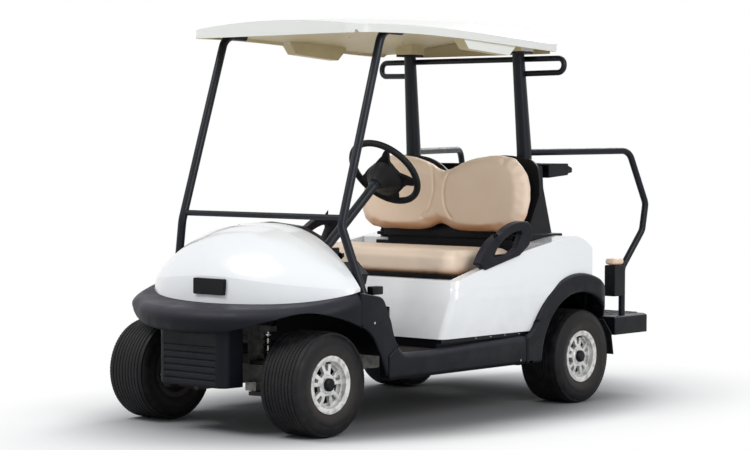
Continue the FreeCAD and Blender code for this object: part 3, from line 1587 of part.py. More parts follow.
def strut_sections(grow):
    """Tapered oval sections of a rear strut: height, across, along, width, depth."""
    rows = ((770.5, 331, 1572, 74, 72), (1150, 328, 1560, 70, 66), (1591, 320, 1520, 56, 54))
    return [(z, x, y, wide + 2 * grow, deep + 2 * grow) for z, x, y, wide, deep in rows]


def strut_lofts(body, grow):
    for side in SIDES:
        post = loft(body, "Additive", "XY", [
            (z, oval(side * x, y, wide, deep)) for z, x, y, wide, deep in strut_sections(grow)])
        post.Ruled = True


def rear_struts():
    """Tapered oval posts from the seat pod to the canopy, with a flat pad on top."""
    body = new_body("rear_struts")
    strut_lofts(body, 0)
    for side in SIDES:
        near, far = pair(side, S.rear_strut_x - 46, S.rear_strut_x + 46)
        pad(body, "XY", 1590, REAR_STRUT_TOP, box_outline(near, 1476, far, 1566))
    return body


keep(rear_struts(), "rear_struts")
STRUT_CLEAR = new_body("StrutClear")
strut_lofts(STRUT_CLEAR, 0.4)


def canopy_hand_rail():
    """One tube behind the rear struts, with a loop back to each strut."""
    end_x = 537
    points = [
        vector(325, 1540, 1499), vector(end_x, 1572, 1503), vector(end_x + 3, 1574, 1567),
        vector(-end_x - 3, 1574, 1567), vector(-end_x, 1572, 1503), vector(-325, 1540, 1499)]
    rail = feature_of(tube(points, S.rail_tube, 31), "RailTube")
    return boolean("Cut", "canopy_hand_rail_shape", rail, STRUT_CLEAR)


keep(canopy_hand_rail(), "canopy_hand_rail")


def grab_rails():
    """Hand rails from the rear struts round to the step, one on each side."""
    shapes = []
    for side in SIDES:
        points = [vector(side * x, y, z) for x, y, z in (
            (335, 1566, 1140), (508, 2150, 1150), (541, 2246, 900), (535, 2228, 772),
            (499, 2114, 596), (499, 2114, float(S.step_top + S.panel_gap)))]
        shapes.append(tube(points, S.grab_tube, 60))
    rails = feature_of(Part.makeCompound(shapes), "GrabTubes")
    return boolean("Cut", "grab_rails_shape", rails, STRUT_CLEAR)


keep(grab_rails(), "grab_rails")


def bag_holder():
    """Bracket across the towers with a strap arm behind each."""
    body = new_body("bag_holder")
    pad(body, "YZ", -440, 440, box_outline(1600, 1056, 1622, 1088))
    for side in SIDES:
        near, far = pair(side, S.rear_strut_x + 50, 440)
        pad(body, "YZ", near, far, [
            (1490, 1082.5), (1601, 1082.5), (1601, 1024), (1752, 1036), (1752, 1090), (1490, 1092)])
        near, far = pair(side, 384, 428)
        pad(body, "YZ", near, far, [(1751, 1040), (1802, 1048), (1802, 1070), (1751, 1086)])
    return body


keep(bag_holder(), "bag_holder")


# ---------------------------------------------------------------------------
# Rear step
# ---------------------------------------------------------------------------


def rear_platform():
    """Moulded step over the ends of the frame rails, open underneath."""
    body = new_body("rear_platform")
    low = S.step_top - S.step_height
    rear = S.overall_length - S.front_overhang
    half = S.step_half_width
    wall = 10
    pad(body, "XY", low, S.step_top, [
        (-half, S.step_front), (half, S.step_front), (half, rear - 40), (half - 40, rear),
        (-half + 40, rear), (-half, rear - 40)])
    round_edges(body, 10, lambda e: flat_at(e, "Z", float(S.step_top)) and not flat_at(e, "Y", float(S.step_front)))
    pocket(body, "XY", low - 1, S.step_top - wall, [
        (-half + wall, S.step_front + wall), (half - wall, S.step_front + wall),
        (half - wall, rear - 40 - wall / 2), (half - 40 - wall / 2, rear - wall),
        (-half + 40 + wall / 2, rear - wall), (-half + wall, rear - 40 - wall / 2)])
    pad(body, "XY", S.step_top - 1, S.step_top + S.tread_rise,
        box_outline(-half + 74, S.step_front + 14, half - 74, rear - 14))
    for side in SIDES:
        near, far = pair(side, S.rail_x - S.rail_width / 2 - 1, S.rail_x + S.rail_width / 2 + 1)
        pocket(body, "YZ", near, far, box_outline(S.step_front - 1, low - 1, S.step_front + wall + 1, S.step_top - wall))
    return body


keep(rear_platform(), "rear_platform")


def sand_boxes():
    """Small boxes in front of the grab rails' posts."""
    body = new_body("sand_boxes")
    for side in SIDES:
        near, far = pair(side, 469, 529)
        pad(body, "XY", S.perch_base, S.perch_top - 37, box_outline(near, 2010, far, 2098))
    return body


keep(sand_boxes(), "sand_boxes")


def sand_box_lids():
    """Padded lids of the small boxes."""
    body = new_body("sand_box_lids")
    for side in SIDES:
        near, far = pair(side, 465, 533)
        pad(body, "XY", S.perch_top - 36.5, S.perch_top, box_outline(near, 2004, far, 2097))
    round_edges(body, 12, lambda e: flat_at(e, "Z", float(S.perch_top)))
    return body


keep(sand_box_lids(), "sand_box_lids")


def mud_flaps():
    """Rubber flaps behind the rear wheels, hung inside the flares."""
    body = new_body("mud_flaps")
    back = S.flare_rear - 30 - S.panel_gap
    near, far = FLARE_INNER_X + 8, S.overall_width / 2 - 3
    for side in SIDES:
        pad(body, "XZ", back - 5, back, mirrored(side, [
            (near, 206), (far, 206), (far - 13, 304), (far - 56, 365), (far - 97, 365),
            (far - 97, 430), (near, 430)]))
    return body


keep(mud_flaps(), "mud_flaps")

# ---------------------------------------------------------------------------
# Check every object, then export
# ---------------------------------------------------------------------------
doc.recompute()
for thing in doc.Objects:
    if "Invalid" in thing.State or "Error" in thing.State:
        raise RuntimeError("%s failed: %s" % (thing.Label, thing.State))
os.makedirs("parts", exist_ok=True)
for piece in PIECES:
    if piece.Shape.isNull() or not piece.Shape.isValid():
        raise RuntimeError("%s has no valid shape" % piece.Label)
for piece in PIECES:
    piece.Shape.exportStep(os.path.join("parts", piece.Label + ".step"))
print("%d pieces" % len(PIECES))
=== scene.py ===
# %% [markdown]
# # Dressing a golf cart
#
# The cart's structure comes from CAD: body panels, frame, tubes, wheels and suspension
# already have their real sizes and places. This lesson gives every one of them the finish
# it has in life, and then builds what CAD leaves plain: tyre tread, stuffed cushions, a
# moulded steering wheel, coil springs, mats, bolts and seams.

# %% Load the structure and keep its box
import json
import math

import bmesh
import bpy
from mathutils import Matrix, Vector
from mathutils.bvhtree import BVHTree


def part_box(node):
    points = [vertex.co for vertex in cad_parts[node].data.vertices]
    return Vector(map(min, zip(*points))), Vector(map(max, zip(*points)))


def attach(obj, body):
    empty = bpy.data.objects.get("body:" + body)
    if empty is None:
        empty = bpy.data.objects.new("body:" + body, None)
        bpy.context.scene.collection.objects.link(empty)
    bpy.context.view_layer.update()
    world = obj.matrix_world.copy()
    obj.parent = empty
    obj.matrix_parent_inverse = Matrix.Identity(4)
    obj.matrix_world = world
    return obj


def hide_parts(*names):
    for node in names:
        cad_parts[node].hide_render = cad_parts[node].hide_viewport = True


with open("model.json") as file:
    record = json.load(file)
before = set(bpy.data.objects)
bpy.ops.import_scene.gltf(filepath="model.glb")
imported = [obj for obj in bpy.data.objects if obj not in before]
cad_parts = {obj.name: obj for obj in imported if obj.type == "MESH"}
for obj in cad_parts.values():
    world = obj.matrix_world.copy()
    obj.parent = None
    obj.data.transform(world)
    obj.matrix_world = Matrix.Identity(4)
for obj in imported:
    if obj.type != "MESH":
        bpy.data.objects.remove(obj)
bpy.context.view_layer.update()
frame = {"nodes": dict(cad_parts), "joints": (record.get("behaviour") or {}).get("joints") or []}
nodes = frame["nodes"]

# %% [markdown]
# ## Where the front axle is
#
# A cart is measured from its axles. The front wheels' boxes give the axle's line, and the
# rest of the lesson counts millimetres back from it (y), left from the middle (x) and up
# from the ground (z). One small function turns such a place into Blender's metres.

# %% Places in millimetres from the front axle
wheel_low, wheel_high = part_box("tyre_front_left")
AXLE_Y = (wheel_low.y + wheel_high.y) / 2
MM = 0.001


def at(x, y, z):
    return Vector((x * MM, y * MM + AXLE_Y, z * MM))


print("front axle at y =", round(AXLE_Y, 4))

# %% [markdown]
# ## Colours and nodes
#
# Paint charts and colour pickers give sRGB hex values, but the shader works in linear
# light, so one function converts them. A second one adds a shader node, fills in its
# settings and plugs in its links. The others start and end a finish, and make what many
# finishes need: a noise of a known pitch, a number moved to another range, and two
# numbers combined.

# %% Colour conversion and the add-node function
def linear(text):
    channels = [int(text[i:i + 2], 16) / 255 for i in (1, 3, 5)]
    curve = [c / 12.92 if c <= 0.04045 else ((c + 0.055) / 1.055) ** 2.4 for c in channels]
    return curve + [1.0]


def add(tree, kind, settings=None, links=None):
    node = tree.nodes.new("ShaderNode" + kind)
    for key, value in (settings or {}).items():
        if isinstance(key, str) and hasattr(node, key):
            setattr(node, key, value)
        else:
            node.inputs[key].default_value = value
    for key, source in (links or {}).items():
        tree.links.new(source, node.inputs[key])
    return node


# %% Start and end of a finish, and its usual parts
def start_finish(name):
    """A new material: its node tree, its shader and the Object coordinates."""
    material = bpy.data.materials.new(name)
    material.use_nodes = True
    tree = material.node_tree
    shader = tree.nodes["Principled BSDF"]
    where = add(tree, "TexCoord").outputs["Object"]
    return material, tree, shader, where


def end_finish(material, colour, rough, strength, deep, height):
    """Plug a colour, a roughness and a bump 'deep' mm deep into the shader of a finish."""
    tree = material.node_tree
    shader = tree.nodes["Principled BSDF"]
    bump = add(tree, "Bump", {"Strength": strength, "Distance": deep * MM}, {"Height": height})
    tree.links.new(colour.outputs[2], shader.inputs["Base Color"])
    tree.links.new(rough, shader.inputs["Roughness"])
    tree.links.new(bump.outputs["Normal"], shader.inputs["Normal"])
    return material


def noise(tree, where, pitch, detail):
    """Noise whose lumps are 'pitch' mm apart."""
    node = add(tree, "TexNoise", {"Scale": 1 / (pitch * MM), "Detail": detail}, {"Vector": where})
    return node.outputs["Fac"]


def moved(tree, value, low, high, to_low=0.0, to_high=1.0):
    """A number between 'low' and 'high', moved to another range and clamped to it."""
    return add(tree, "MapRange", {"From Min": low, "From Max": high, "To Min": to_low, "To Max": to_high},
               {"Value": value}).outputs["Result"]


def combine(tree, operation, first, second, clamp=False):
    """Two numbers added, multiplied or compared."""
    return add(tree, "Math", {"operation": operation, "use_clamp": clamp}, {0: first, 1: second}).outputs[0]


def facing(tree):
    """The way that the surface faces, as X, Y and Z."""
    return add(tree, "SeparateXYZ", None, {"Vector": add(tree, "NewGeometry").outputs["Normal"]}).outputs


# Mix node sockets: 0 is the factor, 6 and 7 the two colours, output 2 the result
COLOURS = {"data_type": "RGBA"}


def blend(tree, first, second, share):
    """Two hex colours mixed by a share from 0 to 1."""
    return add(tree, "Mix", {**COLOURS, 6: linear(first), 7: linear(second)}, {0: share})


# The middle of a noise, where nearly all its values lie
NOISE_LOW, NOISE_HIGH = 0.3, 0.7

# %% [markdown]
# ## White gloss bodywork
#
# The hood and the seat pod are injection-moulded thermoplastic olefin with a gloss clear
# coat. Such paint is smooth but never a perfect mirror: it carries a slow orange-peel
# ripple, about 4 mm from crest to crest, and road film settles low down. The ripple is a
# bump from a noise texture, and the film a slight greying below knee height.

# %% Gloss paint
# Height in mm at which the road film is thickest
FILM_FULL = 330


def gloss_paint(name, clean, film, film_top):
    material, tree, shader, where = start_finish(name)
    shader.inputs["Coat Weight"].default_value = 0.6
    shader.inputs["Coat Roughness"].default_value = 0.05
    cloud = noise(tree, where, 90, 5.0)
    height = add(tree, "SeparateXYZ", None, {"Vector": where}).outputs["Z"]
    low = moved(tree, height, film_top * MM, FILM_FULL * MM, 0.0, 0.8)
    dust = combine(tree, "MULTIPLY", low, cloud)
    colour = blend(tree, clean, film, dust)
    rough = moved(tree, cloud, NOISE_LOW, NOISE_HIGH, 0.16, 0.26)
    return end_finish(material, colour, rough, 0.12, 0.3, noise(tree, where, 4, 1.0))


BODY_WHITE = gloss_paint("white gloss painted TPO bodywork", "#EDEFF1", "#CBCCCC", 620)

# %% [markdown]
# ## The canopy's white top and painted shade underneath
#
# The roof is a rotomoulded polyethylene shell, white and glossy. Its underside is painted
# cream, a painted shade with warm light from below. The two meet along the rim, so the finish
# tells them apart by where the surface faces and by how far it lies inside the rim.

# %% Canopy shell
def canopy_shell():
    material, tree, shader, where = start_finish("rotomoulded polyethylene canopy")
    shader.inputs["Specular IOR Level"].default_value = 0.35
    faces = facing(tree)
    place = add(tree, "SeparateXYZ", None, {"Vector": where})
    # Faces that look down and faces inside the rim get the cream colour: painted shade
    down = moved(tree, faces["Z"], -0.05, -0.35)
    inward_x = combine(tree, "MULTIPLY", faces["X"], place.outputs["X"])
    inward_y = combine(tree, "MULTIPLY", faces["Y"], place.outputs["Y"])
    painted_shade_inside_rim = moved(tree, combine(tree, "ADD", inward_x, inward_y), -0.02, -0.06)
    painted_shade_share = combine(tree, "MAXIMUM", down, painted_shade_inside_rim, True)
    painted_shade_cream = blend(tree, "#CDBF98", "#BFB08A", noise(tree, where, 140, 4.0))
    colour = add(tree, "Mix", {**COLOURS, 6: linear("#DFE0DC")}, {0: painted_shade_share, 7: painted_shade_cream.outputs[2]})
    rough = moved(tree, painted_shade_share, 0.0, 1.0, 0.24, 0.5)
    return end_finish(material, colour, rough, 0.15, 0.4, noise(tree, where, 3, 2.0))


CANOPY_SHELL = canopy_shell()

# %% [markdown]
# ## Grained charcoal mouldings
#
# Bumper, sills, flares and trim are polypropylene moulded against an etched steel tool,
# which leaves a fine leather-like grain and a satin shine. The faces that look up are
# painted a lighter warm brown-grey, a painted top light made patchy by a noise, while the
# sides stay blue-black. A cell texture gives the grain. Its real pitch is under a
# millimetre, which no picture this size can show, so it is drawn at 2.5 mm.

# %% Grained polypropylene
def grained_moulding(name, dark, top_lit_colour, top_light_most=0.9, rough_low=0.42, rough_high=0.6):
    material, tree, shader, where = start_finish(name)
    shader.inputs["IOR"].default_value = 1.49
    shader.inputs["Specular IOR Level"].default_value = 0.18
    cloud = noise(tree, where, 70, 5.0)
    # Faces that look up are painted lighter and warmer: painted top light
    painted_top_light = moved(tree, facing(tree)["Z"], 0.0, 0.95, 0.0, top_light_most)
    patchy = moved(tree, cloud, NOISE_LOW, NOISE_HIGH, 0.75, 1.1)
    amount = combine(tree, "MULTIPLY", painted_top_light, patchy, True)
    colour = blend(tree, dark, top_lit_colour, amount)
    grain = add(tree, "TexVoronoi", {"feature": "DISTANCE_TO_EDGE", "Scale": 1 / (2.5 * MM)},
                {"Vector": where})
    rough = moved(tree, cloud, NOISE_LOW, NOISE_HIGH, rough_low, rough_high)
    return end_finish(material, colour, rough, 0.2, 0.25, moved(tree, grain.outputs["Distance"], 0.0, 0.25))


CHARCOAL = grained_moulding("grained charcoal polypropylene", "#090B13", "#33323B")
TRIM_BLACK = grained_moulding("black moulded ABS trim", "#090B10", "#1E2026", 0.7, 0.38, 0.52)

# %% [markdown]
# ## Powder-coated tube
#
# The struts, rails and brackets are steel tube with a black polyester powder coat. Powder
# melts into a skin with a tight orange peel, and it reflects the sky with a cool edge.

# %% Powder coat
def powder_coat(name, shade, dusty):
    material, tree, shader, where = start_finish(name)
    shader.inputs["Specular IOR Level"].default_value = 0.25
    cloud = noise(tree, where, 60, 4.0)
    colour = blend(tree, shade, dusty, cloud)
    rough = moved(tree, cloud, NOISE_LOW, NOISE_HIGH, 0.3, 0.46)
    return end_finish(material, colour, rough, 0.25, 0.2, noise(tree, where, 3, 1.0))


TUBE_BLACK = powder_coat("black polyester powder coat", "#060910", "#0F1521")
CHASSIS_BLACK = powder_coat("dusty black chassis enamel", "#0F0F0E", "#2B2620")

# %% [markdown]
# ## Tan seat vinyl
#
# The cushions are foam under marine vinyl, a knitted cloth with a calendered PVC skin. The
# skin has a soft leather emboss, about 2 mm from valley to valley. Where it turns under,
# away from the light, the finish paints a deeper caramel tone as painted shade.

# %% Marine vinyl
def marine_vinyl():
    material, tree, shader, where = start_finish("tan embossed marine vinyl")
    shader.inputs["Sheen Weight"].default_value = 0.08
    shader.inputs["IOR"].default_value = 1.5
    cloud = noise(tree, where, 110, 4.0)
    wiped = blend(tree, "#EFDAC6", "#E7CFB6", cloud)
    # Faces that turn down are painted caramel: painted shade
    painted_shade_share = moved(tree, facing(tree)["Z"], -0.05, -0.75, 0.0, 0.9)
    colour = add(tree, "Mix", {**COLOURS, 7: linear("#DDA06A")}, {0: painted_shade_share, 6: wiped.outputs[2]})
    emboss = add(tree, "TexVoronoi", {"feature": "DISTANCE_TO_EDGE", "Scale": 1 / (2 * MM)},
                 {"Vector": where})
    rough = moved(tree, cloud, NOISE_LOW, NOISE_HIGH, 0.4, 0.52)
    return end_finish(material, colour, rough, 0.2, 0.2, moved(tree, emboss.outputs["Distance"], 0.0, 0.2))


VINYL = marine_vinyl()

# %% [markdown]
# ## Rubber
#
# Tyre rubber is nearly black, dull, and picks up brown dust, most of all in the dish next
# to the rim. The finish measures how far a point is from the wheel's axle, which is the
# X line through the wheel's centre, and browns a ring there. The same rubber without the
# ring serves for flaps, mats and pedal pads.

# %% Rubber finishes
# Radii in mm between which the ring of dust fades out
DUST_INNER, DUST_OUTER = 122, 165


def rubber(name, black, dust, centre=None):
    material, tree, shader, where = start_finish(name)
    shader.inputs["Specular IOR Level"].default_value = 0.25
    cloud = noise(tree, where, 35, 6.0)
    amount = moved(tree, cloud, 0.45, 0.8, 0.0, 0.5)
    if centre is not None:
        flat = add(tree, "Mapping", {"Location": [0.0, -centre.y, -centre.z], "Scale": [0.0, 1.0, 1.0]},
                   {"Vector": where})
        radius = add(tree, "VectorMath", {"operation": "LENGTH"}, {0: flat.outputs["Vector"]})
        ring = moved(tree, radius.outputs["Value"], DUST_OUTER * MM, DUST_INNER * MM, 0.0, 0.75)
        amount = combine(tree, "ADD", amount, ring, True)
    colour = blend(tree, black, dust, amount)
    rough = moved(tree, cloud, NOISE_LOW, NOISE_HIGH, 0.5, 0.72)
    return end_finish(material, colour, rough, 0.3, 0.2, noise(tree, where, 2, 2.0))


PLAIN_RUBBER = rubber("black sheet rubber", "#0E0F11", "#25221F")
MAT_RUBBER = rubber("dusty ribbed floor rubber", "#2B2826", "#4A423A")
GRIP = rubber("self-skinned urethane steering wheel", "#08090C", "#121317")

# %% [markdown]
# ## Metal
#
# The wheels are cast aluminium under silver lacquer, bright on the machined face. The barrel
# behind the spokes is painted near black, partly brake-dust grime and partly painted shade.
# The frame is plain extruded aluminium that has gone dull. Both keep the default IOR, as metals do.

# %% Silver lacquer, dull aluminium and bright zinc
# How far out from the middle of a wheel, in mm, its spokes end and full grime and painted shade start
SPOKE_BACK, BARREL_SHADE_AND_GRIME = 60, 52


def metal(name, bright, grime_and_shade, shiny, dull, metallic, centre=None):
    material, tree, shader, where = start_finish(name)
    shader.inputs["Metallic"].default_value = metallic
    amount = moved(tree, noise(tree, where, 28, 6.0), 0.45, 0.75, 0.0, 0.6)
    if centre is not None:
        side = 1 if centre.x > 0 else -1
        # Inside the barrel, behind the spokes, the colour turns near black: grime and painted shade
        across = add(tree, "SeparateXYZ", None, {"Vector": where}).outputs["X"]
        edges = [centre.x + side * far * MM for far in (SPOKE_BACK, BARREL_SHADE_AND_GRIME)]
        amount = combine(tree, "MAXIMUM", amount, moved(tree, across, *edges, 0.0, 0.95), True)
    colour = blend(tree, bright, grime_and_shade, amount)
    rough = moved(tree, amount, 0.0, 1.0, shiny, dull)
    return end_finish(material, colour, rough, 0.1, 0.1, noise(tree, where, 1.5, 1.0))


FRAME_METAL = metal("dull extruded aluminium", "#8B8B88", "#4E4A44", 0.45, 0.7, 0.7)
ZINC = metal("bright zinc-plated steel", "#B9BABA", "#77746E", 0.25, 0.5, 1.0)

# %% [markdown]
# ## Giving the CAD pieces their finishes
#
# Each CAD piece already carries a plain colour. The table below says what the real piece
# is made of. Each wheel gets its own rubber and its own silver, because the rubber's dust ring
# and the silver's dark barrel, grime and painted shade, are centred on that wheel.

# %% Assign finishes to the CAD pieces
FINISHES = {
    BODY_WHITE: ["front_cowl", "rear_body"],
    CANOPY_SHELL: ["canopy"],
    CHARCOAL: ["front_bumper", "cowl_side_panels", "side_sills", "rear_wheel_flares", "rear_platform",
               "lower_front_cover", "hip_restraints"],
    TRIM_BLACK: ["floor_pan", "dashboard", "badge_plate", "seat_back_shell", "seat_back_support",
                 "seat_base_plate", "bag_well", "bag_holder", "sand_boxes", "battery_pack"],
    TUBE_BLACK: ["front_struts", "rear_struts", "canopy_hand_rail", "grab_rails", "steering_column"],
    GRIP: ["steering_wheel"],
    VINYL: ["seat_cushion", "seat_back_cushion", "sand_box_lids"],
    PLAIN_RUBBER: ["mud_flaps", "pedals"],
    FRAME_METAL: ["chassis_frame"],
    CHASSIS_BLACK: ["transaxle", "rear_springs", "shock_absorbers", "front_suspension", "coil_dampers",
                    "steering_rack", "left_knuckle", "right_knuckle", "left_tie_rod", "right_tie_rod"],
}


def finish_node(name, material):
    slots = nodes[name].data.materials
    slots.clear()
    slots.append(material)


for material, names in FINISHES.items():
    for name in names:
        finish_node(name, material)
WHEELS = {}
TYRE_RUBBER = {}
for name in ("front_left", "front_right", "rear_left", "rear_right"):
    low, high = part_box("tyre_" + name)
    centre = (low + high) / 2
    centre.z = high.z - (high.y - low.y) / 2
    WHEELS[name] = centre
    TYRE_RUBBER[name] = rubber("tyre rubber " + name.replace("_", " "), "#0B0C10", "#35302C", centre)
    finish_node("tyre_" + name, TYRE_RUBBER[name])
    finish_node("rim_" + name, metal("silver lacquered aluminium " + name.replace("_", " "),
                                     "#DADAD8", "#14120F", 0.3, 0.6, 0.35, centre))
print("finished", sum(len(names) for names in FINISHES.values()) + 2 * len(WHEELS), "CAD pieces")

# %% [markdown]
# ## Camera, floor and light
#
# The camera stands well back with a long lens, low and to the left of the nose, so the
# wheels stay round and the roof shows its underside. The floor is pale, with a painted
# shadow: a grey oval under the cart that fades to white away from it. Big soft lamps stand in for a white
# studio.

# %% Camera
# Degrees round the cart, down towards it and about the line of sight
AZIMUTH, TILT, ROLL = 40.44, 2.086, 0.273
CAMERA_PLACE = at(6165.2, -6340.6, 1160.7)
LENS = 102.52
around, down = math.radians(AZIMUTH), math.radians(TILT)
back = Vector((math.sin(around) * math.cos(down), -math.cos(around) * math.cos(down), math.sin(down)))
right = Vector((math.cos(around), math.sin(around), 0))
aim = Matrix((right, back.cross(right), back)).transposed().to_4x4()
camera = bpy.data.objects.new("camera", bpy.data.cameras.new("camera"))
bpy.context.scene.collection.objects.link(camera)
camera.data.sensor_width = 36
camera.data.lens = LENS
camera.data.clip_end = 200
level = Matrix.Rotation(math.radians(ROLL), 4, "Z")
camera.matrix_world = Matrix.Translation(CAMERA_PLACE) @ aim @ level
bpy.context.scene.camera = camera
print("camera", [round(v, 3) for v in camera.location], "lens", camera.data.lens)


# %% Rays that show the white background
def white_rays(tree):
    """1 for what the camera, glass or a glossy surface sees, 0 for the light on the cart."""
    path = add(tree, "LightPath").outputs
    direct = combine(tree, "ADD", path["Is Camera Ray"], path["Is Transmission Ray"])
    return combine(tree, "ADD", direct, path["Is Glossy Ray"], True)


# %% Floor
# Half widths of the oval, across and along the cart, inside which the floor carries a painted shadow
PAINTED_SHADOW_SPREAD = (0.88, 1.48)
# Shares of that oval between which the painted shadow lightens, and between which it turns white
PAINTED_SHADOW_FADE, WHITER = (0.65, 1.3), (1.0, 1.75)
FLOOR_HALF = 60


def floor_with_painted_shadow():
    material, tree, shader, where = start_finish("pale studio floor")
    shader.inputs["Roughness"].default_value = 0.9
    shader.inputs["Specular IOR Level"].default_value = 0.1
    spread = add(tree, "Mapping", {"Scale": [1 / PAINTED_SHADOW_SPREAD[0], 1 / PAINTED_SHADOW_SPREAD[1], 1]}, {"Vector": where})
    far = add(tree, "VectorMath", {"operation": "LENGTH"}, {0: spread.outputs[0]}).outputs["Value"]
    painted_shadow_fade, whiter = [
        add(tree, "MapRange", {"interpolation_type": "SMOOTHSTEP", "From Min": start, "From Max": end},
            {"Value": far}).outputs["Result"] for start, end in (PAINTED_SHADOW_FADE, WHITER)]
    # Painted shadow: the floor is grey inside the oval under the cart and lightens outwards
    shade = blend(tree, "#8C8C8E", "#F0F0F0", painted_shadow_fade)
    tree.links.new(shade.outputs[2], shader.inputs["Base Color"])
    amount = combine(tree, "MULTIPLY", whiter, white_rays(tree))
    glow = add(tree, "Emission", {"Color": (1, 1, 1, 1), "Strength": 1.0})
    mix = add(tree, "MixShader", None, {0: amount, 1: shader.outputs[0], 2: glow.outputs[0]})
    tree.links.new(mix.outputs[0], tree.nodes["Material Output"].inputs["Surface"])
    return material


bm = bmesh.new()
bmesh.ops.create_grid(bm, x_segments=1, y_segments=1, size=FLOOR_HALF)
floor_mesh = bpy.data.meshes.new("studio_floor")
bm.to_mesh(floor_mesh)
bm.free()
floor = bpy.data.objects.new("studio_floor", floor_mesh)
bpy.context.scene.collection.objects.link(floor)
floor_mesh.materials.append(floor_with_painted_shadow())


# %% Lamps and world
def soft_lamp(name, place, target, size, power):
    data = bpy.data.lights.new(name, "AREA")
    data.shape = "DISK"
    data.size = size
    data.energy = power
    lamp = bpy.data.objects.new(name, data)
    bpy.context.scene.collection.objects.link(lamp)
    lamp.location = place
    lamp.rotation_euler = (Vector(target) - Vector(place)).to_track_quat("-Z", "Y").to_euler()


soft_lamp("key_lamp", (-2.0, -4.6, 5.8), (0, 0, 0.7), 3.2, 235)
soft_lamp("side_lamp", (5.5, -1.5, 3.2), (0, 0, 0.7), 3.5, 160)
soft_lamp("back_lamp", (-1.0, 5.0, 4.5), (0, 0, 0.9), 3.5, 170)
world = bpy.data.worlds.new("studio")
bpy.context.scene.world = world
world.use_nodes = True
sky = world.node_tree
lighting = sky.nodes["Background"]
lighting.inputs["Color"].default_value = (0.93, 0.96, 1.0, 1)
lighting.inputs["Strength"].default_value = 0.4
white = add(sky, "Background", {"Color": (1, 1, 1, 1), "Strength": 1.0})
either = add(sky, "MixShader", None, {0: white_rays(sky), 1: lighting.outputs[0], 2: white.outputs[0]})
sky.links.new(either.outputs[0], sky.nodes["World Output"].inputs["Surface"])
bpy.context.scene.view_settings.view_transform = "Standard"

# %% [markdown]
# ## Finishing a new piece
#
# Every new piece ends the same way: its doubles merged, its faces turned outwards, its
# mesh made an object at the origin, a material, and the body that it rides on. One
# function does that, so no piece is left loose when a joint moves.

# %% Close a mesh and hand it over
# Points closer than this, in metres, become one, and faces that meet at more than this
# angle, in degrees, keep a sharp edge between them
DOUBLES = 0.00002
SHARP_ANGLE = 35


def edges_of(verts):
    """The edges that meet at these points, in the same order each run."""
    return list(dict.fromkeys(edge for vert in verts for edge in vert.link_edges))


def round_over(bm, edges, width, segments):
    """Bevel some edges, 'width' in metres."""
    bmesh.ops.bevel(bm, geom=edges, offset=width, segments=segments, profile=0.5, affect="EDGES", material=-1)


def hand_over(name, bm, material, body, smooth=True, merge=DOUBLES):
    bmesh.ops.remove_doubles(bm, verts=bm.verts, dist=merge)
    bmesh.ops.recalc_face_normals(bm, faces=bm.faces)
    for face in bm.faces:
        face.smooth = smooth
    mesh = bpy.data.meshes.new(name)
    bm.to_mesh(mesh)
    bm.free()
    piece = bpy.data.objects.new(name, mesh)
    bpy.context.scene.collection.objects.link(piece)
    mesh.materials.append(material)
    if smooth:
        mesh.set_sharp_from_angle(angle=math.radians(SHARP_ANGLE))
    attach(piece, body)
    print(name, len(mesh.vertices), "vertices")
    return piece


# %% [markdown]
# ## Rolled edges on the mouldings
#
# A moulding never has a knife edge: the tool is radiused so that the part can leave it,
# and that radius catches a thin line of light. Each moulding is copied from the CAD
# piece, its loose triangles are merged back into whole faces, and a bevel modifier rolls
# the edges. The copy is shown in the CAD piece's place, and the CAD piece is hidden.

# %% Copy a moulding and roll its edges
def roll_edges(node, radius, material, segments=3, angle=40):
    bm = bmesh.new()
    bm.from_mesh(nodes[node].data)
    bmesh.ops.remove_doubles(bm, verts=bm.verts, dist=DOUBLES)
    bmesh.ops.dissolve_limit(bm, angle_limit=math.radians(0.6), verts=bm.verts, edges=bm.edges)
    piece = hand_over(node + "_moulding", bm, material, "chassis")
    bevel = piece.modifiers.new("rolled edges", "BEVEL")
    bevel.width = radius * MM
    bevel.segments = segments
    bevel.limit_method = "ANGLE"
    bevel.angle_limit = math.radians(angle)
    bevel.use_clamp_overlap = False
    bevel.harden_normals = True
    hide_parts(node)


# %% Mouldings with rolled edges, and their radius in mm
ROLLED = (("rear_wheel_flares", 14, CHARCOAL), ("side_sills", 7, CHARCOAL), ("cowl_side_panels", 6, CHARCOAL),
          ("hip_restraints", 5, CHARCOAL), ("lower_front_cover", 3, CHARCOAL), ("rear_platform", 4, CHARCOAL),
          ("seat_back_support", 5, TRIM_BLACK), ("sand_boxes", 5, TRIM_BLACK), ("bag_holder", 4, TRIM_BLACK))
for node, radius, material in ROLLED:
    roll_edges(node, radius, material)

# %% [markdown]
# ## Turf tyres
#
# A turf tyre has a wide flat tread of low saw-toothed ribs that won't cut grass, with
# notched shoulders. The casing is a profile spun round the axle. The ribs are many copies
# of one small tooth: a box whose two ends are pushed sideways by different amounts, so
# that a row of them makes a saw-toothed rib.

# %% Casing profile and one tooth
TEETH = 96
# Each point is how far from the wheel's middle and how far from its axle, in mm
CASING = [(84, 102), (91, 104), (92, 118), (97, 124), (103, 136), (105.5, 150), (106, 162), (104.6, 165),
          (104.9, 168), (103.5, 180), (99.5, 192), (94, 200.5), (88, 206), (80, 209.3), (60, 210),
          (30, 210.4), (0, 210.5)]
CASING_INSIDE = [(76, 104), (90, 140), (93, 165), (84, 190), (60, 196)]
RIB_PLACES = (-78, -60, -42, -24, -6, 12, 30, 48, 66)


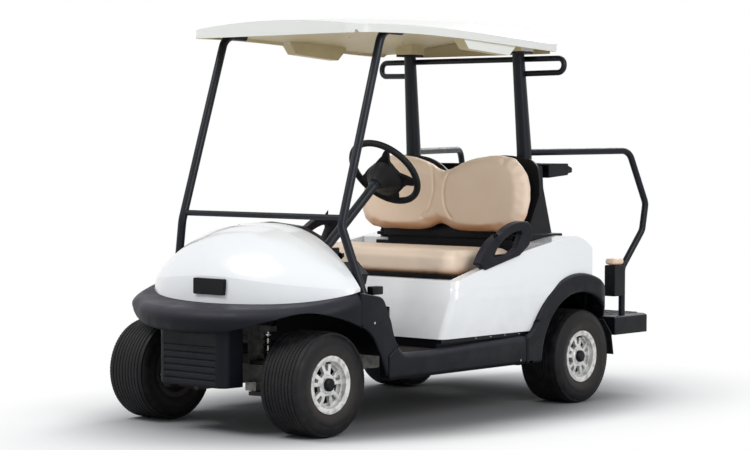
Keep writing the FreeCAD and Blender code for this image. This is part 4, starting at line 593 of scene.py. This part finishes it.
def casing(bm, centre):
    """The closed casing: the profile, its mirror image and the inside, spun about the axle."""
    outside = [(-x, r) for x, r in CASING] + CASING[-2::-1]
    loop = outside + CASING_INSIDE + [(-x, r) for x, r in reversed(CASING_INSIDE)]
    verts = [bm.verts.new(centre + Vector((x * MM, 0, r * MM))) for x, r in loop]
    edges = [bm.edges.new((verts[i], verts[(i + 1) % len(verts)])) for i in range(len(verts))]
    bmesh.ops.spin(bm, geom=verts + edges, cent=centre, axis=(1, 0, 0), angle=2 * math.pi,
                   steps=96, use_merge=True)


def toothed_rib(bm, centre, x, wide, skew, low, high, drop=0.0):
    """One rib: a skewed box on top of the tyre, copied round the axle."""
    step = 2 * math.pi / TEETH
    long = 2 * math.pi * high / TEETH * 0.97
    made = bmesh.ops.create_cube(bm, size=1)["verts"]
    for vert in made:
        lean = skew if vert.co.y > 0 else -skew
        outer = vert.co.x > 0
        rise = (high - low) / 2 + (drop * (-1 if outer else 0) if vert.co.z > 0 else 0)
        vert.co = centre + Vector(((x + vert.co.x * wide + lean) * MM, vert.co.y * long * MM,
                                   ((high + low) / 2 + vert.co.z * 2 * rise) * MM))
    faces = list(dict.fromkeys(face for vert in made for face in vert.link_faces))
    geom = made + edges_of(made) + faces
    bmesh.ops.spin(bm, geom=geom, cent=centre, axis=(1, 0, 0), angle=step * (TEETH - 1),
                   steps=TEETH - 1, use_duplicate=True)


# %% The four tyres
for name, centre in WHEELS.items():
    bm = bmesh.new()
    casing(bm, centre)
    tyre = hand_over("tyre_casing_" + name, bm, TYRE_RUBBER[name], name + "_wheel")
    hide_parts("tyre_" + name)
    bm = bmesh.new()
    for number, x in enumerate(RIB_PLACES):
        toothed_rib(bm, centre, x + 3, 12.5, 2.2 if number % 2 else -2.2, 208.5, 212.9)
    for side in (-1, 1):
        toothed_rib(bm, centre, side * 88, 12 * side, 1.0, 200, 210.5, 3.0)
    hand_over("tyre_tread_" + name, bm, TYRE_RUBBER[name], name + "_wheel", smooth=False)

# %% [markdown]
# ## Cushions
#
# A cushion isn't a block: foam pushes the vinyl out between the seams, so every face is
# crowned and every edge rolls over. Blender's cloth can do that. The shape starts as a
# slightly small rounded block, is remeshed into even cells, and is blown up by a little
# pressure. No point may move further than a cap, a little smoothing pulls the cover tight,
# and the result is kept as a plain mesh.

# %% Inflate a shape with cloth
PRESSURE = 4.0
CLOTH_FRAMES = 20
SMOOTHINGS = 24


def keep_shape(piece):
    """Make the mesh what its modifiers show, and drop them."""
    graph = bpy.context.evaluated_depsgraph_get()
    piece.data = bpy.data.meshes.new_from_object(piece.evaluated_get(graph))
    piece.modifiers.clear()


def inflate(piece, voxel, cap):
    """Remesh, blow up with cloth, cap the movement, smooth, keep the mesh."""
    remesh = piece.modifiers.new("even cells", "REMESH")
    remesh.mode = "VOXEL"
    remesh.voxel_size = voxel
    keep_shape(piece)
    start = [vert.co.copy() for vert in piece.data.vertices]
    cloth = piece.modifiers.new("pressure", "CLOTH")
    cloth.settings.use_pressure = True
    cloth.settings.uniform_pressure_force = PRESSURE
    cloth.settings.effector_weights.gravity = 0
    cloth.point_cache.frame_start, cloth.point_cache.frame_end = 1, CLOTH_FRAMES
    for number in range(1, CLOTH_FRAMES + 1):
        bpy.context.scene.frame_set(number)
    keep_shape(piece)
    bpy.context.scene.frame_set(1)
    for vert, old in zip(piece.data.vertices, start):
        move = vert.co - old
        if move.length > cap:
            vert.co = old + move.normalized() * cap
    stretch = piece.modifiers.new("tight cover", "SMOOTH")
    stretch.factor, stretch.iterations = 0.5, SMOOTHINGS
    keep_shape(piece)


def soften(piece):
    """Smooth shading and one level of subdivision."""
    for polygon in piece.data.polygons:
        polygon.use_smooth = True
    piece.modifiers.new("softness", "SUBSURF").levels = 1


def rounded_block(low, high, corner, edge):
    """A box with rounded upright corners and softer top and bottom edges."""
    bm = bmesh.new()
    bmesh.ops.create_cube(bm, size=1)
    size, middle = high - low, (low + high) / 2
    place = Matrix.Translation(middle) @ Matrix.Diagonal(size).to_4x4()
    bmesh.ops.transform(bm, matrix=place, verts=bm.verts)
    upright = [e for e in bm.edges if abs(e.verts[0].co.z - e.verts[1].co.z) > size.z / 2]
    round_over(bm, upright, corner, 8)
    rims = [e for e in bm.edges if abs(e.verts[0].co.z - e.verts[1].co.z) < 1e-6
            and len(e.link_faces) == 2 and any(abs(f.normal.z) > 0.9 for f in e.link_faces)
            and any(abs(f.normal.z) < 0.1 for f in e.link_faces)]
    bm.normal_update()
    round_over(bm, rims, edge, 5)
    return bm


# %% The bench cushion
seat_low, seat_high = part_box("seat_cushion")
# Room in metres round, under and over the block, most of which the pressure fills again
ROUND_ROOM, UNDER_ROOM, OVER_ROOM = 0.008, 0.001, 0.014
bm = rounded_block(seat_low + Vector((ROUND_ROOM, ROUND_ROOM, UNDER_ROOM)),
                   seat_high - Vector((ROUND_ROOM, ROUND_ROOM, OVER_ROOM)), corner=0.06, edge=0.022)
bench = hand_over("bench_cushion", bm, VINYL, "seat")
inflate(bench, 0.006, 0.014)
for vert in bench.data.vertices:
    vert.co.z = max(vert.co.z, seat_low.z)
soften(bench)
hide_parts("seat_cushion")

# %% [markdown]
# ## The back cushion
#
# The backrest is one two-lobed cushion. Its outline is drawn as a closed loop of points,
# extruded to its thickness, rounded at the front and inflated. It leans back with the
# shell behind it.

# %% Outline of the two lobes
# Half of the outline, from the middle of its lower edge round to the middle of its top:
# how far from the middle and how high, in mm
LOBES = [(0, 806), (35, 797), (70, 782), (120, 774), (200, 773), (340, 776), (415, 790), (460, 822),
         (482, 868), (490, 930), (485, 992), (468, 1044), (438, 1084), (394, 1117), (333, 1131),
         (262, 1133), (190, 1126), (140, 1115), (89, 1100), (45, 1079), (0, 1067)]
LEAN = math.radians(7)
# Height about which the back leans, and where its front lies there
LEAN_HEIGHT = 776
BACK_FRONT = 1324 - LEAN_HEIGHT * math.sin(LEAN)


def lean_back(depth, across, height):
    """A point of the upright backrest, leaned back about its lower edge."""
    y = BACK_FRONT + depth * math.cos(LEAN) + height * math.sin(LEAN)
    z = LEAN_HEIGHT * (1 - math.cos(LEAN)) - depth * math.sin(LEAN) + height * math.cos(LEAN)
    return at(across, y, z)


# The smoothing shrinks the cushion, so its outline starts larger by these factors
GROW_ACROSS, GROW_ABOVE, GROW_BELOW = 1.02, 1.08, 1.03
# The height in mm that it grows from, and the depths in metres of its front and back
MIDDLE = 956
NEAR, FAR = 0.010, 0.068
bm = bmesh.new()
ring = LOBES + [(-x, z) for x, z in reversed(LOBES[1:-1])]
verts = []
for x, z in ring:
    taller = GROW_ABOVE if z > MIDDLE else GROW_BELOW
    verts.append(bm.verts.new((x * GROW_ACROSS * MM, NEAR, (MIDDLE + (z - MIDDLE) * taller) * MM)))
grown = bmesh.ops.extrude_face_region(bm, geom=[bm.faces.new(verts)])["geom"]
bmesh.ops.translate(bm, vec=(0, FAR - NEAR, 0), verts=[g for g in grown if isinstance(g, bmesh.types.BMVert)])
bmesh.ops.recalc_face_normals(bm, faces=bm.faces)
for depth, roll in ((NEAR, 0.028), (FAR, 0.022)):
    rim = [e for e in bm.edges if all(abs(v.co.y - depth) < 1e-6 for v in e.verts)]
    round_over(bm, rim, roll, 6)
for vert in bm.verts:
    vert.co = lean_back(vert.co.y / MM, vert.co.x / MM, vert.co.z / MM)
backrest = hand_over("back_cushion", bm, VINYL, "chassis")
inflate(backrest, 0.006, 0.016)

# %% [markdown]
# ## Sewn contours
#
# Each lobe has a curved seam where two panels of vinyl meet. Sewing pulls the foam in, so
# the points near the seam's line are pushed in, the more the nearer, and the face between
# the seams is left a little proud.

# %% Press the seams into the back cushion
SEAM = [(150, 1128), (95, 1098), (50, 1050), (32, 987), (36, 925), (54, 876), (88, 836)]
SEAM_WIDTH, SEAM_DEEP = 10, 6
SEAM_STEPS = 8


def seam_lines():
    """Smooth seam points in the cushion's own plane, for both lobes."""
    ends_twice = SEAM[:1] + SEAM + SEAM[-1:]
    lines = []
    for side in (-1, 1):
        smooth = []
        for four in zip(ends_twice, ends_twice[1:], ends_twice[2:], ends_twice[3:]):
            for step in range(SEAM_STEPS):
                t = step / SEAM_STEPS
                weights = ((-t + 2 * t * t - t ** 3) / 2, (2 - 5 * t * t + 3 * t ** 3) / 2,
                           (t + 4 * t * t - 3 * t ** 3) / 2, (-t * t + t ** 3) / 2)
                smooth.append([sum(w * p[axis] for w, p in zip(weights, four)) for axis in (0, 1)])
        lines.append([Vector((side * x, z)) for x, z in smooth])
    return lines


lines = seam_lines()
into = (lean_back(1, 0, 0) - lean_back(0, 0, 0)) / MM
up_back = (lean_back(0, 0, 1) - lean_back(0, 0, 0)) / MM
origin = lean_back(0, 0, 0)
for vert in backrest.data.vertices:
    if vert.normal.dot(into) > -0.2:
        continue
    flat = Vector(((vert.co - origin).x / MM, (vert.co - origin).dot(up_back) / MM))
    near = min((flat - point).length for line in lines for point in line)
    if near < SEAM_WIDTH:
        share = 1 - (near / SEAM_WIDTH) ** 2
        vert.co += into * SEAM_DEEP * share * share * MM
soften(backrest)
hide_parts("seat_back_cushion")

# %% [markdown]
# ## The rail under the backrest
#
# Behind the cushion's lower edge a plain black rail closes the view through to the body.
# It is a cube, leaned back with the cushion.

# %% Rail behind the back cushion
bm = bmesh.new()
bmesh.ops.create_cube(bm, size=1)
for vert in bm.verts:
    vert.co = lean_back(86 + vert.co.y * 12, vert.co.x * 760, 790 + vert.co.z * 70)
round_over(bm, bm.edges[:], 0.004, 2)
hand_over("back_cushion_rail", bm, TRIM_BLACK, "chassis")

# %% [markdown]
# ## Small turned and boxy pieces
#
# Screws, caps, pads and ribs come from a few helpers: a profile turned about any line, a
# box with softened edges, round bars along smooth rows of points, and a ray that finds
# where a CAD surface really is, so that a screw sits on it.

# %% Turned shapes, soft boxes, round bars and surface points
def turned(bm, profile, place, direction, steps=20):
    """Spins (radius, height) points in mm about the line from 'place' along 'direction'."""
    old = set(bm.verts)
    verts = [bm.verts.new((radius * MM, 0, height * MM)) for radius, height in profile]
    edges = [bm.edges.new(two) for two in zip(verts, verts[1:])]
    bmesh.ops.spin(bm, geom=verts + edges, cent=(0, 0, 0), axis=(0, 0, 1), angle=2 * math.pi,
                   steps=steps, use_merge=True)
    new = [vert for vert in bm.verts if vert not in old]
    bmesh.ops.transform(bm, matrix=upright_on(place, Vector(direction)), verts=new)


def soft_box(bm, low, high, soft=0.0, matrix=Matrix()):
    """A box between two corners, its edges bevelled by 'soft' mm, then moved by 'matrix'."""
    old = set(bm.verts)
    made = bmesh.ops.create_cube(bm, size=1)["verts"]
    size = Matrix.Diagonal(high - low).to_4x4()
    bmesh.ops.transform(bm, matrix=Matrix.Translation((low + high) / 2) @ size, verts=made)
    if soft:
        round_over(bm, edges_of(made), soft * MM, 2)
    new = [vert for vert in bm.verts if vert not in old]
    bmesh.ops.transform(bm, matrix=matrix, verts=new)


def round_bars(rows, radius):
    """A bmesh of round bars, radius in mm, along smooth curves through rows of points."""
    data = bpy.data.curves.new("bars", "CURVE")
    data.dimensions = "3D"
    data.bevel_depth = radius * MM
    data.bevel_resolution = 2
    data.use_fill_caps = True
    for points in rows:
        spline = data.splines.new("NURBS")
        spline.points.add(len(points) - 1)
        for slot, point in zip(spline.points, points):
            slot.co = (*point, 1)
        spline.order_u = 3
        spline.use_endpoint_u = True
    holder = bpy.data.objects.new("bars", data)
    bm = bmesh.new()
    bm.from_mesh(bpy.data.meshes.new_from_object(holder))
    bpy.data.objects.remove(holder)
    return bm


TREES = {}


def surface(piece, start, direction):
    """Where a ray from 'start' meets a piece, and which way that surface faces."""
    if piece.name not in TREES:
        bm = bmesh.new()
        bm.from_mesh(piece.data)
        TREES[piece.name] = BVHTree.FromBMesh(bm)
        bm.free()
    place, normal = TREES[piece.name].ray_cast(start, Vector(direction))[:2]
    if place is None:
        raise RuntimeError("no surface of %s there" % piece.name)
    return place, normal


def upright_on(place, normal):
    """The frame of a small piece that stands on a surface."""
    return Matrix.Translation(place) @ normal.to_track_quat("Z", "Y").to_matrix().to_4x4()


# %% [markdown]
# ## Centre caps and valves
#
# Each wheel has a black pressed-in cap over its axle nut and a rubber valve near the rim's
# edge. Both are turned profiles, and both turn with their own wheel.

# %% Hub caps and valve stems
CAP_PROFILE = [(0, 0), (26.4, 0), (26.4, 12.6), (25.6, 14.2), (19.6, 19.8), (17, 20.2), (0, 20.6)]
VALVE_PROFILE = [(0, 0), (5, 0), (5, 12), (3.4, 14), (3.4, 22), (4.2, 22.5), (4.2, 31), (3, 32), (0, 32)]
CAP_SEAT, VALVE_SEAT, VALVE_RADIUS = 80, 62, 88
for name, centre in WHEELS.items():
    outward = Vector((math.copysign(1, centre.x), 0, 0))
    bm = bmesh.new()
    turned(bm, CAP_PROFILE, centre + outward * CAP_SEAT * MM, outward, 32)
    hand_over("centre_cap_" + name, bm, TRIM_BLACK, name + "_wheel")
    bm = bmesh.new()
    valve = centre + outward * VALVE_SEAT * MM + Vector((0, 0, VALVE_RADIUS * MM))
    turned(bm, VALVE_PROFILE, valve, outward, 12)
    hand_over("valve_stem_" + name, bm, PLAIN_RUBBER, name + "_wheel")

# %% [markdown]
# ## The steering wheel
#
# The wheel is one moulding: a round rim, and a bell that hides the bolts, spreads into
# four arms and narrows down to the column. The bell starts as a circle whose points are
# pulled out to a table of radii, one for each bearing round the wheel. Behind the flat
# arms a second table gives the bell's own swell. Rings shrink towards the column and are
# bridged one to the next. Everything is drawn flat on the wheel's own plane and then
# tilted with it.

# %% Plane of the steering wheel, from its joint
steering = next(joint for joint in frame["joints"] if joint["name"] == "steering_turn")
hub = Vector(steering["pos_m"])
toward_driver = Vector(steering["axis"]).normalized()
down_column = -toward_driver
across = Vector((1, 0, 0))
up_the_wheel = across.cross(toward_driver)
tilted = Matrix((across, up_the_wheel, down_column)).transposed().to_4x4()
WHEEL_PLANE = Matrix.Translation(hub) @ tilted
print("steering axis", [round(v, 3) for v in toward_driver])

# %% Tables of the steering wheel's moulding
RIM_RADIUS, RIM_TUBE = 161, 14.5
# Bearing in degrees round the wheel, and how far in mm the moulding and its arms reach there
ARMS = [(-170, 152), (-88, 152), (-85, 122), (-75, 109), (-60, 104), (-45, 105), (-33, 116), (-28, 152),
        (-15, 152), (-11, 118), (-6, 84), (0, 79), (15, 73), (30, 75), (42, 80), (48, 92), (51, 118),
        (53, 152), (61, 152), (64, 118), (70, 95), (75, 85), (90, 68), (105, 59), (120, 56), (135, 58),
        (150, 65), (165, 80), (178, 102), (186, 118)]
# The same for the bell alone, behind the arms
SWELL = [(-165, 112), (-150, 132), (-130, 138), (-105, 132), (-88, 110), (-70, 98), (-45, 96),
         (-20, 88), (0, 76), (55, 76), (90, 64), (150, 62), (180, 92)]
# How far down the column in mm, and how far the outline has shrunk to the narrow end
FACE = [(-7, 0.12), (-4, 0.0), (9, 0.0)]
BELL = [(10, 0.0), (16, 0.04), (26, 0.16), (38, 0.36), (52, 0.62), (66, 0.84), (80, 1.0)]
BELL_END = 29


def reach(rows, bearing):
    """A table's radius at a bearing, in straight lines from row to row."""
    rows = rows + [(rows[0][0] + 360, rows[0][1])]
    bearing = (bearing - rows[0][0]) % 360 + rows[0][0]
    for (low, start), (high, end) in zip(rows, rows[1:]):
        if low <= bearing <= high:
            return start + (end - start) * (bearing - low) / (high - low)


def eased(rows, bearing, spread):
    """The mean of five bearings, which rounds the table's corners."""
    return sum(reach(rows, bearing + turn * spread) for turn in (-2, -1, 0, 1, 2)) / 5


# %% Rim, bell and arms
bm = bmesh.new()
rings = []
for depth, shrink in FACE + BELL:
    made = bmesh.ops.create_circle(bm, segments=144, radius=1, cap_ends=False)["verts"]
    for vert in made:
        bearing = math.degrees(math.atan2(vert.co.y, vert.co.x))
        radius = eased(ARMS, bearing, 1.5)
        if (depth, shrink) in BELL:
            radius = min(radius, eased(SWELL, bearing, 5))
        radius += (BELL_END - radius) * shrink
        vert.co = Vector((vert.co.x * radius, vert.co.y * radius, depth)) * MM
    rings.append(edges_of(made))
for first, second in zip(rings, rings[1:]):
    bmesh.ops.bridge_loops(bm, edges=first + second)
bmesh.ops.holes_fill(bm, edges=rings[0] + rings[-1], sides=0)
tube_place = Matrix.Translation((RIM_RADIUS * MM, 0, 0)) @ Matrix.Rotation(math.pi / 2, 4, "X")
tube_verts = bmesh.ops.create_circle(bm, segments=20, radius=RIM_TUBE * MM, matrix=tube_place)["verts"]
bmesh.ops.spin(bm, geom=tube_verts + edges_of(tube_verts), cent=(0, 0, 0), axis=(0, 0, 1), angle=2 * math.pi,
               steps=96, use_merge=True)
bmesh.ops.transform(bm, matrix=WHEEL_PLANE, verts=bm.verts)
wheel_piece = hand_over("steering_wheel_moulding", bm, GRIP, "steering")
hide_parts("steering_wheel")
bm = bmesh.new()
soft_box(bm, Vector((-0.052, -0.042, -0.018)), Vector((0.052, 0.036, -0.006)), 4, WHEEL_PLANE)
soft_box(bm, Vector((-0.03, 0.026, -0.023)), Vector((0.03, 0.034, -0.016)), 1.5, WHEEL_PLANE)
hand_over("scorecard_clip", bm, TRIM_BLACK, "steering")

# %% [markdown]
# ## The column
#
# Below the bell the column is a slim tube with a collar, down to a joint, and a thinner
# shaft runs on at an angle to the rack's pinion. The tube is a profile turned about the
# steering axis, and the shaft is a round bar with a bend. Neither turns with the wheel.

# %% Column tube and lower shaft
COLUMN_LONG = 700
PINION = at(76, 97, 359)
bm = bmesh.new()
turned(bm, [(0, 82), (27, 82), (27, 91), (22, 97), (20, 102), (20, COLUMN_LONG - 2), (18, COLUMN_LONG),
            (0, COLUMN_LONG)], hub, down_column, 32)
column_piece = hand_over("column_tube", bm, TUBE_BLACK, "chassis")
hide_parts("steering_column")
foot = hub + down_column * (COLUMN_LONG - 12) * MM
hand_over("lower_steering_shaft", round_bars([[foot, foot + down_column * 0.03, PINION]], 9), CHASSIS_BLACK,
          "chassis")

# %% [markdown]
# ## Coil springs
#
# The front dampers carry coil springs. Spinning a small circle while it also climbs gives
# the true helix that plain CAD discs only stood for.

# %% Helical springs and damper bodies
damper_low, damper_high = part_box("coil_dampers")
DAMPER_X = damper_high.x - 23 * MM
DAMPER_TALL = (damper_high.z - damper_low.z) / MM
LOWER_SEAT, UPPER_SEAT = 14, DAMPER_TALL - 15
DAMPER = [(0, 0), (10, 0), (10, 8), (23.5, 10), (23.5, LOWER_SEAT), (15, 16), (15, DAMPER_TALL * 0.5),
          (9, DAMPER_TALL * 0.52), (9, DAMPER_TALL - 17), (23.5, UPPER_SEAT), (23.5, DAMPER_TALL - 10),
          (10, DAMPER_TALL - 8), (10, DAMPER_TALL), (0, DAMPER_TALL)]
COILS, COIL_STEPS, WIRE, COIL_RADIUS = 7, 24, 4, 19.4
springs, bodies = bmesh.new(), bmesh.new()
for side in (-1, 1):
    foot = Vector((side * DAMPER_X, (damper_low.y + damper_high.y) / 2, damper_low.z))
    turned(bodies, DAMPER, foot, (0, 0, 1), 24)
    start = foot + Vector((0, 0, (LOWER_SEAT + WIRE) * MM))
    out = Matrix.Translation(start + Vector((COIL_RADIUS * MM, 0, 0)))
    ring = bmesh.ops.create_circle(springs, segments=8, radius=WIRE * MM, cap_ends=False,
                                   matrix=out @ Matrix.Rotation(math.pi / 2, 4, "X"))["verts"]
    rise = (UPPER_SEAT - LOWER_SEAT - 2 * WIRE) * MM
    bmesh.ops.spin(springs, geom=ring + edges_of(ring), cent=start, axis=(0, 0, 1), angle=2 * math.pi * COILS,
                   dvec=(0, 0, rise / (COILS * COIL_STEPS)), steps=COILS * COIL_STEPS)
bmesh.ops.holes_fill(springs, edges=springs.edges, sides=0)
coil_piece = hand_over("coil_springs", springs, CHASSIS_BLACK, "chassis", merge=0.000001)
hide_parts("coil_dampers")
hand_over("damper_bodies", bodies, ZINC, "chassis")

# %% [markdown]
# ## Rubber under foot
#
# Pedals have ribbed rubber pads and the floor has a ribbed mat, both there to grip a wet
# shoe. The step at the back has short raised bars that lean left and right in turn, as
# moulded treads do.

# %% Pedal pads
PEDAL_EDGES = ((120, 215), (262, 330))
PEDAL_TOP = at(0, 336, 470)
down_pedal = Vector((0, 0.456, -0.890)).normalized()
sloped = Matrix((across, down_pedal, across.cross(down_pedal))).transposed().to_4x4()
PEDAL_PLANE = Matrix.Translation(PEDAL_TOP) @ sloped
bm = bmesh.new()
for near, far in PEDAL_EDGES:
    soft_box(bm, Vector((near - 2, 4, 0.5)) * MM, Vector((far + 2, 88, 4)) * MM, 1, PEDAL_PLANE)
    for rib in range(6):
        start = 12 + rib * 13
        soft_box(bm, Vector((near + 5, start, 3)) * MM, Vector((far - 5, start + 6, 7)) * MM, 1, PEDAL_PLANE)
hand_over("pedal_pads", bm, PLAIN_RUBBER, "chassis")

# %% Floor mat
FLOOR_TOP = 310
MAT_RIBS, RIB_PITCH = 43, 24
bm = bmesh.new()
soft_box(bm, at(-512, 408, FLOOR_TOP + 0.3), at(512, 662, FLOOR_TOP + 2.5), 0.8)
for rib in range(MAT_RIBS):
    x = (rib - (MAT_RIBS - 1) / 2) * RIB_PITCH
    soft_box(bm, at(x - 4, 416, FLOOR_TOP + 2), at(x + 4, 654, FLOOR_TOP + 4.5))
hand_over("floor_mat", bm, MAT_RUBBER, "chassis", smooth=False)

# %% Step tread
step_low, step_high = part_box("rear_platform")
bm = bmesh.new()
ROWS, BARS = 9, 30
BAR_PITCH, FIRST_ROW, ROW_PITCH = 30, 46, 28
for row in range(ROWS):
    for bar in range(BARS):
        lean = math.radians(45 if (row + bar) % 2 else -45)
        spot = Vector(((bar - (BARS - 1) / 2) * BAR_PITCH * MM,
                       step_low.y + (FIRST_ROW + row * ROW_PITCH) * MM, step_high.z))
        soft_box(bm, Vector((-13, -2.5, -0.5)) * MM, Vector((13, 2.5, 1.8)) * MM, 0,
                 Matrix.Translation(spot) @ Matrix.Rotation(lean, 4, "Z"))
hand_over("step_tread", bm, CHARCOAL, "chassis", smooth=False)

# %% [markdown]
# ## Screws and rivets
#
# Trim is held by dome-headed screws. Each one is turned on the CAD surface that a ray
# finds, so it always sits flush: into the side panels, the sills, the strip under the
# pod, the seat towers and the underside of the canopy.

# %% Dome-headed fasteners
def screw(bm, piece, start, direction, radius):
    """A dome head with a washer where the ray meets the piece."""
    place, normal = surface(nodes[piece], start, direction)
    if normal.dot(Vector(direction)) > 0:
        normal = -normal
    turned(bm, [(0, -1), (radius, -1), (radius, 0.6), (radius * 0.72, 1), (radius * 0.66, radius * 0.34),
                (radius * 0.3, radius * 0.5), (0, radius * 0.52)], place, normal, 14)


bm = bmesh.new()
for side in (-1, 1):
    inward = (-side, 0, 0)
    screw(bm, "cowl_side_panels", at(side * 700, 200, 452), inward, 5)
    screw(bm, "side_sills", at(side * 700, 1184, 229), inward, 5)
    for y in (906, 1012, 1113, 1215):
        screw(bm, "floor_pan", at(side * 700, y, 343), inward, 3.6)
    for y, z in ((1500, 902), (1500, 1010), (1470, 780)):
        screw(bm, "seat_back_support", at(side * 700, y, z), inward, 6)
    for y in (330, 620, 1000, 1380):
        screw(bm, "canopy", at(side * 250, y, 1500), (0, 0, 1), 7)
hand_over("trim_screws", bm, ZINC, "chassis")

# %% [markdown]
# ## Little brackets at the strut feet
#
# Behind each front strut a small black block carries the strut's clamp, and a strip with
# two bolts holds the panel's rear edge.

# %% Strut foot blocks
bm = bmesh.new()
bolts = bmesh.new()
for side in (-1, 1):
    near, far = sorted((side * 528, side * 562))
    soft_box(bm, at(near, 224, 562), at(far, 290, 596), 5)
    near, far = sorted((side * 546, side * 574))
    soft_box(bm, at(near, 306, 444), at(far, 316, 512), 3)
    for z in (458, 498):
        turned(bolts, [(0, 0), (6, 0), (6, 3), (4, 5), (0, 5)], at(side * 560, 316, z), (0, 1, 0), 6)
hand_over("strut_foot_blocks", bm, TRIM_BLACK, "chassis")
hand_over("strut_foot_bolts", bolts, ZINC, "chassis", smooth=False)

# %% [markdown]
# ## Switches on the dash
#
# The driver's side of the dash has a key switch and a rocker for forward and reverse, and
# beside them a round state-of-charge dial, left blank. A strip at the dash's foot closes
# the slot above the toe board.

# %% Key switch, rocker and dial
bm = bmesh.new()
spots = {}
for label, x, z in (("key", 300, 708), ("rocker", 120, 738), ("dial", 40, 784)):
    spots[label] = surface(nodes["dashboard"], at(x, 700, z), (0, -1, 0))
place, normal = spots["key"]
turned(bm, [(0, -1), (15, -1), (15, 3), (12, 6), (7, 6), (7, 9), (0, 9)], place, normal, 20)
soft_box(bm, Vector((-2, -9, 8)) * MM, Vector((2, 9, 26)) * MM, 1, upright_on(place, normal))
turn = upright_on(*spots["rocker"])
soft_box(bm, Vector((-12, -17, -1)) * MM, Vector((12, 17, 3)) * MM, 1.2, turn)
soft_box(bm, Vector((-8, -13, 2)) * MM, Vector((8, 1, 9)) * MM, 2, turn)
place, normal = spots["dial"]
turned(bm, [(0, -1), (26, -1), (26, 4), (22, 6), (20, 3), (0, 3)], place, normal, 28)
hand_over("dash_switches", bm, TRIM_BLACK, "chassis")

# %% Strip at the foot of the dash
bm = bmesh.new()
soft_box(bm, at(-456, 231, 527), at(456, 247, 567), 5)
hand_over("dash_foot_trim", bm, TRIM_BLACK, "chassis")

# %% [markdown]
# ## The small padded lids
#
# The two boxes on the rear step have padded tops in the same vinyl as the bench.

# %% Lid pads
lid_low, lid_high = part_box("sand_box_lids")
bm = bmesh.new()
for side in (-1, 1):
    near, far = sorted((side * (lid_high.x - 68 * MM), side * lid_high.x))
    one = rounded_block(Vector((near + 0.003, lid_low.y + 0.003, lid_low.z + 0.001)),
                        Vector((far - 0.003, lid_high.y - 0.003, lid_high.z - 0.005)),
                        corner=0.016, edge=0.010)
    part = bpy.data.meshes.new("pad")
    one.to_mesh(part)
    one.free()
    bm.from_mesh(part)
pads = hand_over("rear_pads", bm, VINYL, "chassis")
inflate(pads, 0.004, 0.005)
soften(pads)
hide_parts("sand_box_lids")
